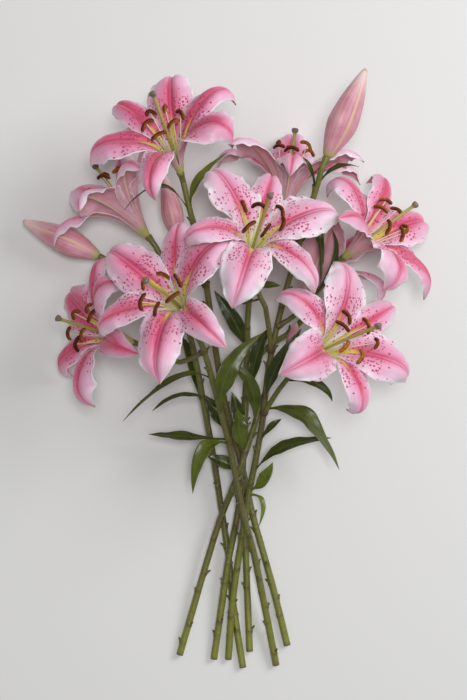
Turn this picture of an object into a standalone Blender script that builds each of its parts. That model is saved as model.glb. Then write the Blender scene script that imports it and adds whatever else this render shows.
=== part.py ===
"""A spiral bunch of seven cut oriental lilies, lying on a table with their flowers spread out.

The bunch lies along Y: the cut ends are at -Y and the flowers at +Y. Z is up from the table.
Flowers and leaves grow from the stems, so only a hair's gap parts one piece from the next.
"""

import math

import bmesh
import bpy
from mathutils import Matrix, Vector

# Driving dimensions, in metres and degrees
STEM_RADIUS = 0.0042
STEM_TOP_RADIUS = 0.0033
PEDICEL_RADIUS = 0.0029
STEM_SIDES = 8
NECK_LENGTH = 0.014
SIDE_NECK_LENGTH = 0.012
GAP = 0.0004

PETAL_LENGTH = 0.112
INNER_HALF_WIDTH = 0.0245
OUTER_HALF_WIDTH = 0.0170
PETAL_THICKNESS = 0.0012
THROAT_ANGLE = 15.0
SEAT_RADIUS = 0.0036
THROAT_RADIUS = 0.0078
THROAT_HEIGHT = 0.0160
INNER_SHARE = 34.0
OUTER_SHARE = 22.0
PETAL_ROWS = (0.10, 0.24, 0.39, 0.54, 0.69, 0.83, 0.94)
PETAL_CUP = 0.30
PETAL_CUP_FALL = 0.40

OVARY_RADIUS = 0.0022
OVARY_HEIGHT = 0.0080
STYLE_RADIUS = 0.0014
STIGMA_RADIUS = 0.0034
PISTIL_LENGTH = 0.102
ANTHER_HEIGHT = 0.070
ANTHER_SPREAD = 0.0210
HALF_OPEN = 30.0
HALF_OPEN_SPREAD = 0.6
FILAMENT_HALF = 0.0008
# a filament's points as shares of its spread and of its height
FILAMENT_PATH = ((0.17, 0.14), (0.28, 0.30), (0.64, 0.68), (1.0, 1.0))
ANTHER_HALF_LENGTH = 0.0100
ANTHER_HALF_THICKNESS = 0.0016
ANTHER_RISE = 0.0006

BUD_SIDES = 9
BUD_ROWS = 8
LEAF_THICKNESS = 0.0010
LEAF_ROWS = 7
LEAF_FOLD = 0.25
LEAF_STALK_HALF_WIDTH = 0.0014

# Moves the whole bunch so that its box stands centred on the origin
BUNCH_PLACE = Vector((0.009, 0.0304, 0.0))

# Each flower: where its stalk ends, the way it faces, which way round it is up, where its
# style aims, and six petals. A petal is (clock, flare, curl, reach): its angle round
# the flower from the top as seen from the front, its angle to the flower's axis halfway and at
# the tip, and its length as a share of PETAL_LENGTH. Broad inner and narrow outer petals take turns.
FLOWERS = {
    "middle": {
        "place": (0.017, 0.100, 0.140), "facing": (0.20, 0.60, 0.77), "top": (0, 1, 0),
        "aim": (0.22, 0.63, 0.75),
        "petals": [
            (-28, 69, 120, 1.04), (20, 62, 140, 0.98), (80, 62, 120, 1.05),
            (140, 80, 150, 1.02), (203, 88, 134, 1.02), (262, 68, 165, 1.05),
        ],
    },
    "low_left": {
        "place": (-0.052, 0.038, 0.143), "facing": (-0.32, 0.45, 0.83), "top": (0, 1, 0),
        "aim": (-0.40, 0.35, 0.85),
        "petals": [
            (-58, 62, 112, 1.04), (-3, 72, 127, 1.03), (47, 57, 145, 1.08),
            (130, 70, 137, 1.05), (180, 79, 130, 1.05), (243, 75, 150, 1.06),
        ],
    },
    "low_right": {
        "place": (0.087, -0.006, 0.125), "facing": (0.58, 0.32, 0.75), "top": (0, 1, 0),
        "aim": (0.68, 0.32, 0.66),
        "petals": [
            (7, 53, 127, 1.05), (64, 64, 112, 1.05), (122, 55, 122, 1.04),
            (175, 71, 165, 1.04), (248, 69, 128, 1.03), (313, 74, 165, 1.03),
        ],
    },
    "top_left": {
        "place": (-0.059, 0.197, 0.115), "facing": (-0.22, 0.72, 0.66), "top": (0, 1, 0),
        "aim": (-0.28, 0.80, 0.53),
        "petals": [
            (-8, 50, 105, 1.02), (48, 52, 150, 1.10), (98, 52, 150, 1.02),
            (180, 75, 150, 1.05), (256, 75, 137, 1.04), (300, 60, 124, 1.06),
        ],
    },
    "right": {
        "place": (0.125, 0.105, 0.080), "facing": (0.71, 0.55, 0.44), "top": (0, 1, 0),
        "aim": (0.79, 0.58, 0.22),
        "petals": [
            (-20, 70, 170, 0.98), (32, 49, 131, 1.05), (90, 53, 102, 1.04),
            (148, 72, 131, 1.05), (208, 66, 136, 1.02), (272, 66, 95, 1.03),
        ],
    },
    "far_left": {
        "place": (-0.116, 0.009, 0.057), "facing": (-0.83, 0.28, 0.49), "top": (0, 1, 0),
        "aim": (-0.79, 0.26, 0.55),
        "petals": [
            (50, 45, 132, 1.04), (105, 76, 131, 1.03), (165, 70, 127, 1.00),
            (233, 73, 155, 1.01), (300, 76, 95, 1.02), (350, 67, 127, 1.03),
        ],
    },
    "back_left": {
        "place": (-0.098, 0.130, 0.056), "facing": (-0.60, 0.78, 0.10), "top": (0, 0, 1),
        "aim": (-0.585, 0.785, 0.20),
        "petals": [
            (32, 42, 95, 0.96), (90, 58, 110, 1.00), (150, 38, 60, 1.00),
            (210, 38, 60, 1.00), (270, 45, 80, 1.00), (332, 46, 110, 1.02),
        ],
    },
    "back_top": {
        "place": (0.056, 0.151, 0.062), "facing": (0.14, 0.98, 0.10), "top": (0, 0, 1),
        "aim": (0.14, 0.98, 0.10),
        "petals": [
            (-66, 46, 75, 1.00), (0, 42, 160, 0.92), (52, 50, 80, 1.00),
            (108, 62, 125, 1.04), (180, 36, 55, 1.00), (245, 62, 110, 1.02),
        ],
    },
    "back_right": {
        "place": (0.081, 0.046, 0.050), "facing": (0.27, 0.96, 0.00), "top": (0, 0, 1),
        "aim": (0.27, 0.96, 0.00),
        "petals": [
            (0, 24, 40, 1.00), (60, 26, 45, 1.00), (120, 24, 40, 1.00),
            (180, 20, 30, 1.00), (234, 26, 45, 1.00), (282, 74, 150, 1.05),
        ],
    },
}

# Each bud: where its stalk ends, the way it points, its length and its widest radius
BUDS = {
    "top": {
        "place": (0.103, 0.213, 0.122), "facing": (0.40, 0.91, 0.08), "length": 0.106, "radius": 0.0170,
    },
    "left": {
        "place": (-0.155, 0.108, 0.034), "facing": (-0.90, 0.42, -0.02), "length": 0.098, "radius": 0.0160,
    },
    "back": {
        "place": (-0.064, 0.126, 0.048), "facing": (-0.20, 0.97, 0.00), "length": 0.078, "radius": 0.0125,
    },
    "small": {
        "place": (0.065, -0.003, 0.058), "facing": (0.18, 0.97, -0.08), "length": 0.036, "radius": 0.0080,
    },
}

# Each stem: its run from the cut end up to just below its head, the head it carries, and
# its side stalks. A side stalk leaves the run at a share of its length, passes its own
# points and carries another head.
STEMS = {
    "front_left": {
        "run": [
            (0.050, -0.369, 0.0048), (0.024, -0.237, 0.028), (0.012, -0.194, 0.038), (0.003, -0.147, 0.044),
            (-0.006, -0.104, 0.052), (-0.015, -0.068, 0.061),
            (-0.024, -0.034, 0.076), (-0.034, 0.002, 0.100),
        ],
        "head": ("flower", "low_left"),
        "sides": [(0.86, [(-0.060, -0.014, 0.064), (-0.088, -0.006, 0.058)], ("flower", "far_left"))],
    },
    "far_left": {
        "run": [
            (0.011, -0.372, 0.0046), (-0.001, -0.293, 0.0050),
            (-0.006, -0.240, 0.0060), (-0.015, -0.181, 0.009),
            (-0.022, -0.132, 0.018), (-0.034, -0.064, 0.033),
            (-0.046, 0.000, 0.046), (-0.058, 0.046, 0.050),
            (-0.077, 0.094, 0.053),
        ],
        "head": ("flower", "back_left"),
        "sides": [(0.86, [(-0.085, 0.058, 0.043), (-0.120, 0.088, 0.037)], ("bud", "left"))],
    },
    "main_right": {
        "run": [
            (-0.006, -0.362, 0.0045), (-0.001, -0.292, 0.0150),
            (0.006, -0.242, 0.020), (0.011, -0.212, 0.024),
            (0.019, -0.159, 0.033), (0.025, -0.130, 0.039), (0.034, -0.076, 0.049), (0.039, -0.029, 0.056),
            (0.049, 0.026, 0.065), (0.066, 0.091, 0.074), (0.079, 0.138, 0.090), (0.094, 0.186, 0.111),
        ],
        "head": ("bud", "top"),
        "sides": [
            (0.49, [(0.052, -0.044, 0.070), (0.068, -0.024, 0.096)], ("flower", "low_right")),
            (0.61, [(0.036, 0.048, 0.086), (0.020, 0.075, 0.112)], ("flower", "middle")),
            (0.66, [(0.075, 0.043, 0.068), (0.103, 0.076, 0.070)], ("flower", "right")),
        ],
    },
    "low_right": {
        "run": [
            (-0.063, -0.357, 0.0048), (-0.032, -0.250, 0.014),
            (-0.016, -0.198, 0.019), (-0.004, -0.168, 0.025),
            (0.008, -0.136, 0.032), (0.023, -0.091, 0.036), (0.033, -0.058, 0.038), (0.048, -0.028, 0.044),
        ],
        "head": ("bud", "small"),
        "sides": [],
    },
    "back_right": {
        "run": [
            (-0.023, -0.362, 0.0045), (-0.014, -0.300, 0.010),
            (-0.006, -0.246, 0.015), (0.003, -0.201, 0.019),
            (0.009, -0.163, 0.022), (0.012, -0.116, 0.024), (0.014, -0.070, 0.027), (0.019, -0.023, 0.032),
            (0.038, 0.002, 0.036), (0.062, 0.018, 0.042),
        ],
        "head": ("flower", "back_right"),
        "sides": [],
    },
    "back_top": {
        "run": [
            (0.019, -0.353, 0.0046), (0.016, -0.277, 0.0046),
            (0.014, -0.227, 0.0046), (0.011, -0.176, 0.0050),
            (0.011, -0.129, 0.0060), (0.013, -0.070, 0.012), (0.016, 0.000, 0.026), (0.018, 0.058, 0.042),
            (0.036, 0.104, 0.052),
        ],
        "head": ("flower", "back_top"),
        "sides": [],
    },
    "top_left": {
        "run": [
            (0.063, -0.346, 0.0046), (0.045, -0.273, 0.0070),
            (0.027, -0.210, 0.0095), (0.020, -0.182, 0.011),
            (0.011, -0.140, 0.0150), (-0.002, -0.093, 0.024),
            (-0.013, -0.046, 0.036), (-0.022, 0.011, 0.050),
            (-0.030, 0.068, 0.066), (-0.037, 0.113, 0.082), (-0.048, 0.153, 0.099),
        ],
        "head": ("flower", "top_left"),
        "sides": [(0.76, [(-0.046, 0.092, 0.056)], ("bud", "back"))],
    },
}

# Each leaf: the stem it grows from, or the stem and the number of its side stalk, its share
# along that, the point that it arches towards, its tip, the way its upper side faces, and its
# widest half width
LEAVES = {
    "left_long": (
        "front_left", 0.78, (-0.060, -0.010, 0.100), (-0.125, -0.081, 0.080), (-0.3, 0.75, 0.6), 0.0062,
    ),
    "left_short": (
        "front_left", 0.71, (-0.062, -0.038, 0.076), (-0.093, -0.070, 0.066), (-0.2, 0.8, 0.5), 0.0045,
    ),
    "left_level": (
        "front_left", 0.61, (-0.070, -0.098, 0.067), (-0.097, -0.096, 0.054), (0.0, 0.7, 0.7), 0.0068,
    ),
    "left_bright": (
        "front_left", 0.60, (-0.041, -0.094, 0.086), (-0.046, -0.164, 0.062), (-0.4, 0.4, 0.8), 0.0090,
    ),
    "heart": (
        "front_left", 0.68, (-0.022, -0.024, 0.092), (0.032, 0.020, 0.078), (0.35, 0.0, 0.93), 0.0113,
    ),
    "right_long": (
        "main_right", 0.50, (0.083, -0.056, 0.068), (0.121, -0.136, 0.062), (0.3, 0.6, 0.75), 0.0124,
    ),
    "right_level": (
        "main_right", 0.38, (0.052, -0.101, 0.058), (0.113, -0.101, 0.046), (-0.1, 0.8, 0.6), 0.0090,
    ),
    "right_bright": (
        "main_right", 0.34, (0.038, -0.152, 0.053), (0.044, -0.128, 0.054), (-0.5, 0.3, 0.8), 0.0079,
    ),
    "right_low": (
        "main_right", 0.33, (0.042, -0.165, 0.048), (0.029, -0.204, 0.040), (0.5, 0.2, 0.8), 0.0034,
    ),
    "right_small": (
        "main_right", 0.44, (0.043, -0.084, 0.059), (0.055, -0.079, 0.054), (-0.2, 0.7, 0.7), 0.0045,
    ),
    "right_upper": (
        "main_right", 0.52, (0.042, -0.022, 0.080), (0.077, 0.025, 0.078), (-0.5, 0.2, 0.85), 0.0085,
    ),
    "right_arch": (
        "main_right", 0.83, (0.102, 0.161, 0.100), (0.098, 0.071, 0.092), (0.6, 0.4, 0.7), 0.0056,
    ),
    "right_end": (
        ("main_right", 0), 0.50, (0.105, -0.032, 0.078), (0.112, -0.059, 0.070), (0.2, 0.5, 0.8), 0.0050,
    ),
    "right_spear": (
        ("main_right", 2), 0.41, (0.128, 0.103, 0.080), (0.110, 0.135, 0.097), (0.5, 0.1, 0.86), 0.0040,
    ),
    "heart_right": (
        ("main_right", 1), 0.61, (0.037, 0.075, 0.101), (0.053, 0.072, 0.098), (0.0, 0.6, 0.8), 0.0051,
    ),
    "heart_left": (
        ("main_right", 1), 0.52, (0.006, 0.049, 0.092), (-0.002, 0.070, 0.090), (0.0, 0.6, 0.8), 0.0056,
    ),
    "bud_left": (
        "main_right", 0.94, (0.087, 0.205, 0.128), (0.076, 0.213, 0.122), (-0.4, 0.2, 0.9), 0.0023,
    ),
    "bud_right": (
        "main_right", 0.95, (0.112, 0.210, 0.122), (0.140, 0.203, 0.112), (0.1, 0.8, 0.6), 0.0045,
    ),
    "inner_right": (
        "low_right", 0.73, (0.033, -0.037, 0.055), (-0.006, -0.015, 0.054), (0.4, 0.2, 0.86), 0.0090,
    ),
    "inner_top": (
        "low_right", 0.65, (0.006, -0.092, 0.049), (0.004, -0.066, 0.052), (0.2, -0.2, 0.9), 0.0096,
    ),
    "dark_left": (
        "far_left", 0.57, (-0.047, -0.002, 0.039), (-0.061, 0.015, 0.044), (0.3, 0.1, 0.9), 0.0068,
    ),
    "dark_middle": (
        "top_left", 0.45, (-0.024, -0.069, 0.037), (-0.032, -0.051, 0.038), (0.3, 0.0, 0.95), 0.0079,
    ),
    "dark_low": (
        "top_left", 0.37, (-0.013, -0.129, 0.030), (-0.030, -0.122, 0.028), (0.1, 0.5, 0.85), 0.0079,
    ),
    "dark_top": (
        "top_left", 0.84, (-0.017, 0.133, 0.061), (-0.004, 0.112, 0.060), (0.1, 0.8, 0.6), 0.0068,
    ),
    "top_right": (
        "top_left", 0.93, (-0.048, 0.189, 0.112), (-0.007, 0.221, 0.100), (-0.5, 0.3, 0.8), 0.0062,
    ),
    "top_left": (
        "top_left", 0.92, (-0.078, 0.207, 0.126), (-0.122, 0.157, 0.098), (0.1, 0.9, 0.4), 0.0045,
    ),
    "dark_upper": (
        "back_right", 0.62, (0.006, -0.074, 0.034), (-0.003, -0.048, 0.036), (0.2, 0.0, 0.95), 0.0079,
    ),
    "dark_right": (
        "back_right", 0.70, (0.026, 0.004, 0.046), (0.041, 0.026, 0.050), (-0.2, 0.0, 0.95), 0.0079,
    ),
    "dark_broad": (
        "back_top", 0.69, (0.004, 0.032, 0.051), (-0.022, 0.069, 0.046), (0.2, 0.0, 0.95), 0.0090,
    ),
}


def smooth(t):
    """Eases from 0 to 1."""
    t = min(1.0, max(0.0, t))
    return t * t * (3.0 - 2.0 * t)


def through(points, steps):
    """A smooth run of points through the given ones, with so many steps between two of them."""
    ends = [points[0] * 2.0 - points[1]] + points + [points[-1] * 2.0 - points[-2]]
    run = []
    for i in range(1, len(ends) - 2):
        a, b, c, d = ends[i - 1 : i + 3]
        for step in range(steps):
            t = step / steps
            run.append(
                0.5 * ((b * 2.0) + (c - a) * t + (a * 2.0 - b * 5.0 + c * 4.0 - d) * t * t
                       + (b * 3.0 - a - c * 3.0 + d) * t ** 3)
            )
    run.append(points[-1].copy())
    return run


def along(run, share):
    """The point at a share of a run's length, and the run's direction there."""
    lengths = [(b - a).length for a, b in zip(run, run[1:])]
    left = share * sum(lengths)
    for a, b, length in zip(run, run[1:], lengths):
        if left <= length:
            return a.lerp(b, left / length), (b - a).normalized()
        left -= length
    return run[-1].copy(), (run[-1] - run[-2]).normalized()


def placed(point):
    """A point of the bunch, moved with the whole bunch."""
    return Vector(point) + BUNCH_PLACE


def facing_axes(flower):
    """The way a flower faces, the way to its top, and the way to its right seen from the front."""
    axis = Vector(flower["facing"]).normalized()
    up = Vector(flower["top"])
    up = (up - axis * up.dot(axis)).normalized()
    return axis, up, up.cross(axis)


def head_seat(head):
    """Where a flower or a bud sits, and the way it faces."""
    kind, name = head
    one = FLOWERS[name] if kind == "flower" else BUDS[name]
    return placed(one["place"]), Vector(one["facing"]).normalized()


def stem_run(name):
    """The middle line of a stem, from its cut end to its head."""
    stem = STEMS[name]
    seat, axis = head_seat(stem["head"])
    points = [placed(p) for p in stem["run"]]
    points += [seat - axis * NECK_LENGTH, seat - axis * (PETAL_THICKNESS + GAP)]
    return through(points, 2)


def side_run(name, side):
    """The middle line of a side stalk, from the middle of its stem to its head."""
    share, via, head = side
    start, _ = along(stem_run(name), share)
    seat, axis = head_seat(head)
    points = [start] + [placed(p) for p in via]
    points += [seat - axis * SIDE_NECK_LENGTH, seat - axis * (PETAL_THICKNESS + GAP)]
    return through(points, 2)


def material(name, color, roughness):
    made = bpy.data.materials.new(name)
    made.use_nodes = True
    shader = made.node_tree.nodes["Principled BSDF"]
    shader.inputs["Base Color"].default_value = (*color, 1.0)
    shader.inputs["Roughness"].default_value = roughness
    shader.inputs["Metallic"].default_value = 0.0
    return made


def new_object(name, bm, finish):
    mesh = bpy.data.meshes.new(name)
    bm.to_mesh(mesh)
    bm.free()
    mesh.materials.append(finish)
    mesh.shade_smooth()
    mesh.set_sharp_from_angle(angle=math.radians(50.0))
    made = bpy.data.objects.new(name, mesh)
    bpy.context.scene.collection.objects.link(made)
    return made


def ring_turn(direction, before):
    """Turns the last ring's own axes as little as it takes to face a new direction."""
    return before.rotation_difference(direction).to_matrix()


def tube(run, radii, sides):
    """A closed round tube along a run, swept from a circle by extruding its edges."""
    bm = bmesh.new()
    direction = (run[1] - run[0]).normalized()
    turn = direction.to_track_quat("Z", "Y").to_matrix().to_4x4()
    bmesh.ops.create_circle(
        bm, segments=sides, radius=radii[0], cap_ends=True, matrix=Matrix.Translation(run[0]) @ turn
    )
    base = bm.faces[:][0]
    rim = list(base.edges)
    for i in range(1, len(run)):
        ahead = run[min(i + 1, len(run) - 1)]
        new_direction = (ahead - run[i - 1]).normalized()
        made = bmesh.ops.extrude_edge_only(bm, edges=rim)["geom"]
        corners = [v for v in made if isinstance(v, bmesh.types.BMVert)]
        rim = [
            e for e in made
            if isinstance(e, bmesh.types.BMEdge) and e.verts[0] in corners and e.verts[1] in corners
        ]
        bmesh.ops.translate(bm, verts=corners, vec=-run[i - 1])
        bmesh.ops.rotate(bm, verts=corners, cent=(0, 0, 0), matrix=ring_turn(new_direction, direction))
        grow = radii[i] / radii[i - 1]
        bmesh.ops.scale(bm, verts=corners, vec=(grow, grow, grow))
        bmesh.ops.translate(bm, verts=corners, vec=run[i])
        direction = new_direction
    bmesh.ops.holes_fill(bm, edges=rim, sides=0)
    bmesh.ops.recalc_face_normals(bm, faces=bm.faces)
    return bm


def make_stem(name, finish):
    """A stem with its side stalks, grown as one piece."""
    run = stem_run(name)
    last = len(run) - 1
    radii = [STEM_RADIUS + (STEM_TOP_RADIUS - STEM_RADIUS) * i / last for i in range(last + 1)]
    stem = new_object("stem_" + name, tube(run, radii, STEM_SIDES), finish)
    for number, side in enumerate(STEMS[name]["sides"]):
        line = side_run(name, side)
        stalk = tube(line, [PEDICEL_RADIUS] * len(line), STEM_SIDES)
        branch = new_object(f"join_{name}_{number}", stalk, finish)
        branch.hide_render = True
        branch.display_type = "WIRE"
        union = stem.modifiers.new(branch.name, "BOOLEAN")
        union.operation = "UNION"
        union.object = branch
    return stem


def petal_half_width(s, widest):
    """Half the width of a petal at a share of its length: narrow foot, full middle, pointed tip."""
    if s < 0.5:
        return widest * (0.22 + 0.78 * smooth(s / 0.5))
    return widest * (1.0 - ((s - 0.5) / 0.5) ** 2.3)


def petal_rows(start, axis, out, flare, curl, length, half_width, share):
    """Rows of (left, middle, right) points up a petal, and its tip."""
    side = out.cross(axis)
    fine = 40
    point, rows, tip = start.copy(), [], None
    wanted = list(PETAL_ROWS)
    for i in range(1, fine + 1):
        s = i / fine
        mid = s - 0.5 / fine
        opened = THROAT_ANGLE + (flare - THROAT_ANGLE) * smooth(mid / 0.5)
        angle = math.radians(opened + (curl - flare) * smooth((mid - 0.45) / 0.55))
        point = point + (axis * math.cos(angle) + out * math.sin(angle)) * (length / fine)
        if wanted and s >= wanted[0] - 1e-6:
            wanted.pop(0)
            inward = axis * math.sin(angle) - out * math.cos(angle)
            room = max((point - start).dot(out) + THROAT_RADIUS, 0.001) * math.tan(math.radians(share))
            half = petal_half_width(s, half_width)
            half = min(half, room) if s < 0.5 else half
            lift = inward * (half * (PETAL_CUP - PETAL_CUP_FALL * s))
            rows.append((point - side * half + lift, point.copy(), point + side * half + lift))
        tip = point
    return rows, tip


def make_petals(name, finish):
    """The six petals of a flower, joined at the seat as they grow: one thin curved shell."""
    flower = FLOWERS[name]
    base = placed(flower["place"])
    axis, up, right = facing_axes(flower)

    def out_at(clock):
        turn = math.radians(clock)
        return up * math.cos(turn) + right * math.sin(turn)

    clocks = [petal[0] for petal in flower["petals"]]
    borders = [
        clocks[i - 1] + ((clocks[i] - clocks[i - 1]) % 360.0) * (0.42 if i % 2 else 0.58) for i in range(6)
    ]
    bm = bmesh.new()
    rings = []
    for radius, height in ((SEAT_RADIUS, 0.0), (THROAT_RADIUS, THROAT_HEIGHT)):
        ring = []
        for i in range(6):
            ring.append(bm.verts.new(base + axis * height + out_at(borders[i]) * radius))
            ring.append(bm.verts.new(base + axis * height + out_at(clocks[i]) * radius))
        rings.append(ring)
    bm.faces.new(rings[0])
    for i in range(12):
        j = (i + 1) % 12
        bm.faces.new((rings[0][i], rings[0][j], rings[1][j], rings[1][i]))
    for i, (clock, flare, curl, reach) in enumerate(flower["petals"]):
        inner = i % 2 == 0
        before = (rings[1][2 * i], rings[1][2 * i + 1], rings[1][(2 * i + 2) % 12])
        rows, tip = petal_rows(
            before[1].co, axis, out_at(clock), flare, curl, PETAL_LENGTH * reach,
            INNER_HALF_WIDTH if inner else OUTER_HALF_WIDTH, INNER_SHARE if inner else OUTER_SHARE,
        )
        for row in rows:
            after = [bm.verts.new(point) for point in (row[2], row[1], row[0])]
            if (after[0].co - before[0].co).length > (after[2].co - before[0].co).length:
                after.reverse()
            for a in (0, 1):
                bm.faces.new((before[a], before[a + 1], after[a + 1], after[a]))
            before = after
        end = bm.verts.new(tip)
        bm.faces.new((before[0], before[1], end))
        bm.faces.new((before[1], before[2], end))
    bmesh.ops.recalc_face_normals(bm, faces=bm.faces)
    bm.faces.ensure_lookup_table()
    if bm.faces[0].normal.dot(axis) < 0:
        bmesh.ops.reverse_faces(bm, faces=bm.faces)
    petals = new_object("petals_" + name, bm, finish)
    shell = petals.modifiers.new("thickness", "SOLIDIFY")
    shell.thickness = PETAL_THICKNESS
    shell.offset = -1.0
    return petals


def aimed(axis, aim, height):
    """A point up a style that leaves along the axis and ends along its aim."""
    share = smooth(height / PISTIL_LENGTH)
    return (axis * (1.0 - share) + aim * share) * height


def make_stamens(name, finish):
    """The pistil and the six stamens of a flower, grown from one foot inside the petals."""
    flower = FLOWERS[name]
    base = placed(flower["place"])
    axis, up, right = facing_axes(flower)
    aim = Vector(flower["aim"]).normalized()
    spread = ANTHER_SPREAD * (1.0 if flower["petals"][0][1] > HALF_OPEN else HALF_OPEN_SPREAD)
    bm = bmesh.new()
    turn = Matrix((right, up, axis)).transposed().to_4x4()
    bmesh.ops.create_circle(
        bm, segments=6, radius=OVARY_RADIUS, cap_ends=True,
        matrix=Matrix.Translation(base + axis * GAP) @ turn,
    )
    foot = bm.faces[:][0]
    grown = bmesh.ops.extrude_face_region(bm, geom=[foot], use_keep_orig=True)["geom"]
    top = next(g for g in grown if isinstance(g, bmesh.types.BMFace))
    bmesh.ops.translate(bm, verts=top.verts, vec=axis * OVARY_HEIGHT)
    walls = [f for f in bm.faces if f not in (foot, top)]

    # the style and its stigma
    centre = base + axis * (OVARY_HEIGHT + GAP)
    radius = OVARY_RADIUS
    for share, wanted in ((0.20, STYLE_RADIUS), (0.42, STYLE_RADIUS), (0.68, STYLE_RADIUS),
                          (0.92, STYLE_RADIUS), (0.96, STIGMA_RADIUS), (1.0, STIGMA_RADIUS * 0.8)):
        grown = bmesh.ops.extrude_discrete_faces(bm, faces=[top])["faces"]
        top = grown[0]
        target = base + aimed(axis, aim, PISTIL_LENGTH * share)
        bmesh.ops.translate(bm, verts=top.verts, vec=-centre)
        bmesh.ops.scale(bm, verts=top.verts, vec=(wanted / radius,) * 3)
        bmesh.ops.translate(bm, verts=top.verts, vec=target)
        centre, radius = target, wanted

    # six filaments from the foot's six walls, each with its anther across its end
    for wall in walls:
        middle = wall.calc_center_median() - base
        low = [v for v in wall.verts if (v.co - base).dot(axis) < OVARY_HEIGHT * 0.5]
        out = (middle - axis * middle.dot(axis)).normalized()
        side = axis.cross(out)
        tip_way = (out * 0.35 + aim * 0.94).normalized()
        across = (up * 0.7 + side * 0.5)
        across = (across - tip_way * across.dot(tip_way)).normalized()
        thin = across.cross(tip_way)
        frames = [
            (base + out * (spread * wide) + aimed(axis, aim, ANTHER_HEIGHT * high),
             side, FILAMENT_HALF, -out,
             FILAMENT_HALF)
            for wide, high in FILAMENT_PATH
        ]
        end = frames[-1][0]
        for rise in (ANTHER_RISE, ANTHER_RISE + 2.0 * ANTHER_HALF_THICKNESS):
            frames.append((end + tip_way * rise, thin, ANTHER_HALF_THICKNESS, across, ANTHER_HALF_LENGTH))
        face = wall
        signs = [
            (-1.0 if (v.co - base).dot(side) < 0.0 else 1.0, -1.0 if v in low else 1.0)
            for v in wall.verts
        ]
        for centre, first, first_half, second, second_half in frames:
            face = bmesh.ops.extrude_discrete_faces(bm, faces=[face])["faces"][0]
            for vert, (a, b) in zip(face.verts, signs):
                vert.co = centre + first * (a * first_half) + second * (b * second_half)
    bmesh.ops.recalc_face_normals(bm, faces=bm.faces)
    return new_object("stamens_" + name, bm, finish)


def make_bud(name, finish):
    """A closed bud: a spindle of rings, swelling low and drawn out to a blunt point."""
    bud = BUDS[name]
    base = placed(bud["place"])
    axis = Vector(bud["facing"]).normalized()
    length, widest = bud["length"], bud["radius"]
    run = [base + axis * (length * i / BUD_ROWS) for i in range(BUD_ROWS + 1)]
    radii = []
    for i in range(BUD_ROWS + 1):
        t = i / BUD_ROWS
        radii.append(widest * (0.26 + 0.74 * smooth(t / 0.36)) * (1.0 - 0.90 * smooth((t - 0.30) / 0.75)))
    return new_object("bud_" + name, tube(run, radii, BUD_SIDES), finish)


def leaf_half_width(t, widest):
    """Half the width of a leaf at a share of its length: a narrow stalk, then a lance shape."""
    shape = smooth(t / 0.45) if t < 0.45 else 1.0 - ((t - 0.45) / 0.55) ** 1.8
    return max(LEAF_STALK_HALF_WIDTH * (1.0 - t), widest * shape)


def make_leaf(name, finish):
    """A leaf: a thin blade folded a little along its middle, arching out from its stem."""
    stem, share, arch, tip, face, widest = LEAVES[name]
    on_stem = isinstance(stem, str)
    run = stem_run(stem) if on_stem else side_run(stem[0], STEMS[stem[0]]["sides"][stem[1]])
    start, run_way = along(run, share)
    arch, tip = placed(arch), placed(tip)
    out = arch - start
    out = (out - run_way * out.dot(run_way)).normalized()
    root = start + out * ((STEM_RADIUS if on_stem else PEDICEL_RADIUS) + GAP + 1.6 * LEAF_THICKNESS)
    face = Vector(face).normalized()
    bm = bmesh.new()
    before = None
    for i in range(LEAF_ROWS + 1):
        t = i / LEAF_ROWS
        middle = root * (1 - t) ** 2 + arch * (2 * t * (1 - t)) + tip * t * t
        way = ((arch - root) * (1 - t) + (tip - arch) * t).normalized()
        side = way.cross(face).normalized()
        fold = side.cross(way)
        half = leaf_half_width(t, widest)
        if i == LEAF_ROWS:
            end = bm.verts.new(middle)
            bm.faces.new((before[0], before[1], end))
            bm.faces.new((before[1], before[2], end))
            break
        after = [
            bm.verts.new(middle - side * half + fold * half * LEAF_FOLD),
            bm.verts.new(middle),
            bm.verts.new(middle + side * half + fold * half * LEAF_FOLD),
        ]
        if before:
            for a in (0, 1):
                bm.faces.new((before[a], before[a + 1], after[a + 1], after[a]))
        before = after
    leaf = new_object("leaf_" + name, bm, finish)
    blade = leaf.modifiers.new("thickness", "SOLIDIFY")
    blade.thickness = LEAF_THICKNESS
    blade.offset = 0.0
    return leaf


def main():
    for old in list(bpy.data.objects):
        bpy.data.objects.remove(old)
    stem_green = material("stem green", (0.24, 0.30, 0.07), 0.55)
    leaf_green = material("leaf green", (0.07, 0.16, 0.03), 0.45)
    petal_pink = material("petal pink", (0.85, 0.42, 0.55), 0.50)
    bud_pink = material("bud pink", (0.75, 0.40, 0.45), 0.50)
    stamen_orange = material("stamen orange", (0.45, 0.25, 0.06), 0.70)
    for name in STEMS:
        make_stem(name, stem_green)
    for name in FLOWERS:
        make_petals(name, petal_pink)
        make_stamens(name, stamen_orange)
    for name in BUDS:
        make_bud(name, bud_pink)
    for name in LEAVES:
        make_leaf(name, leaf_green)


main()
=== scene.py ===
import math
import random

import bmesh
import bpy
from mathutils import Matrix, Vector, noise


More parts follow.
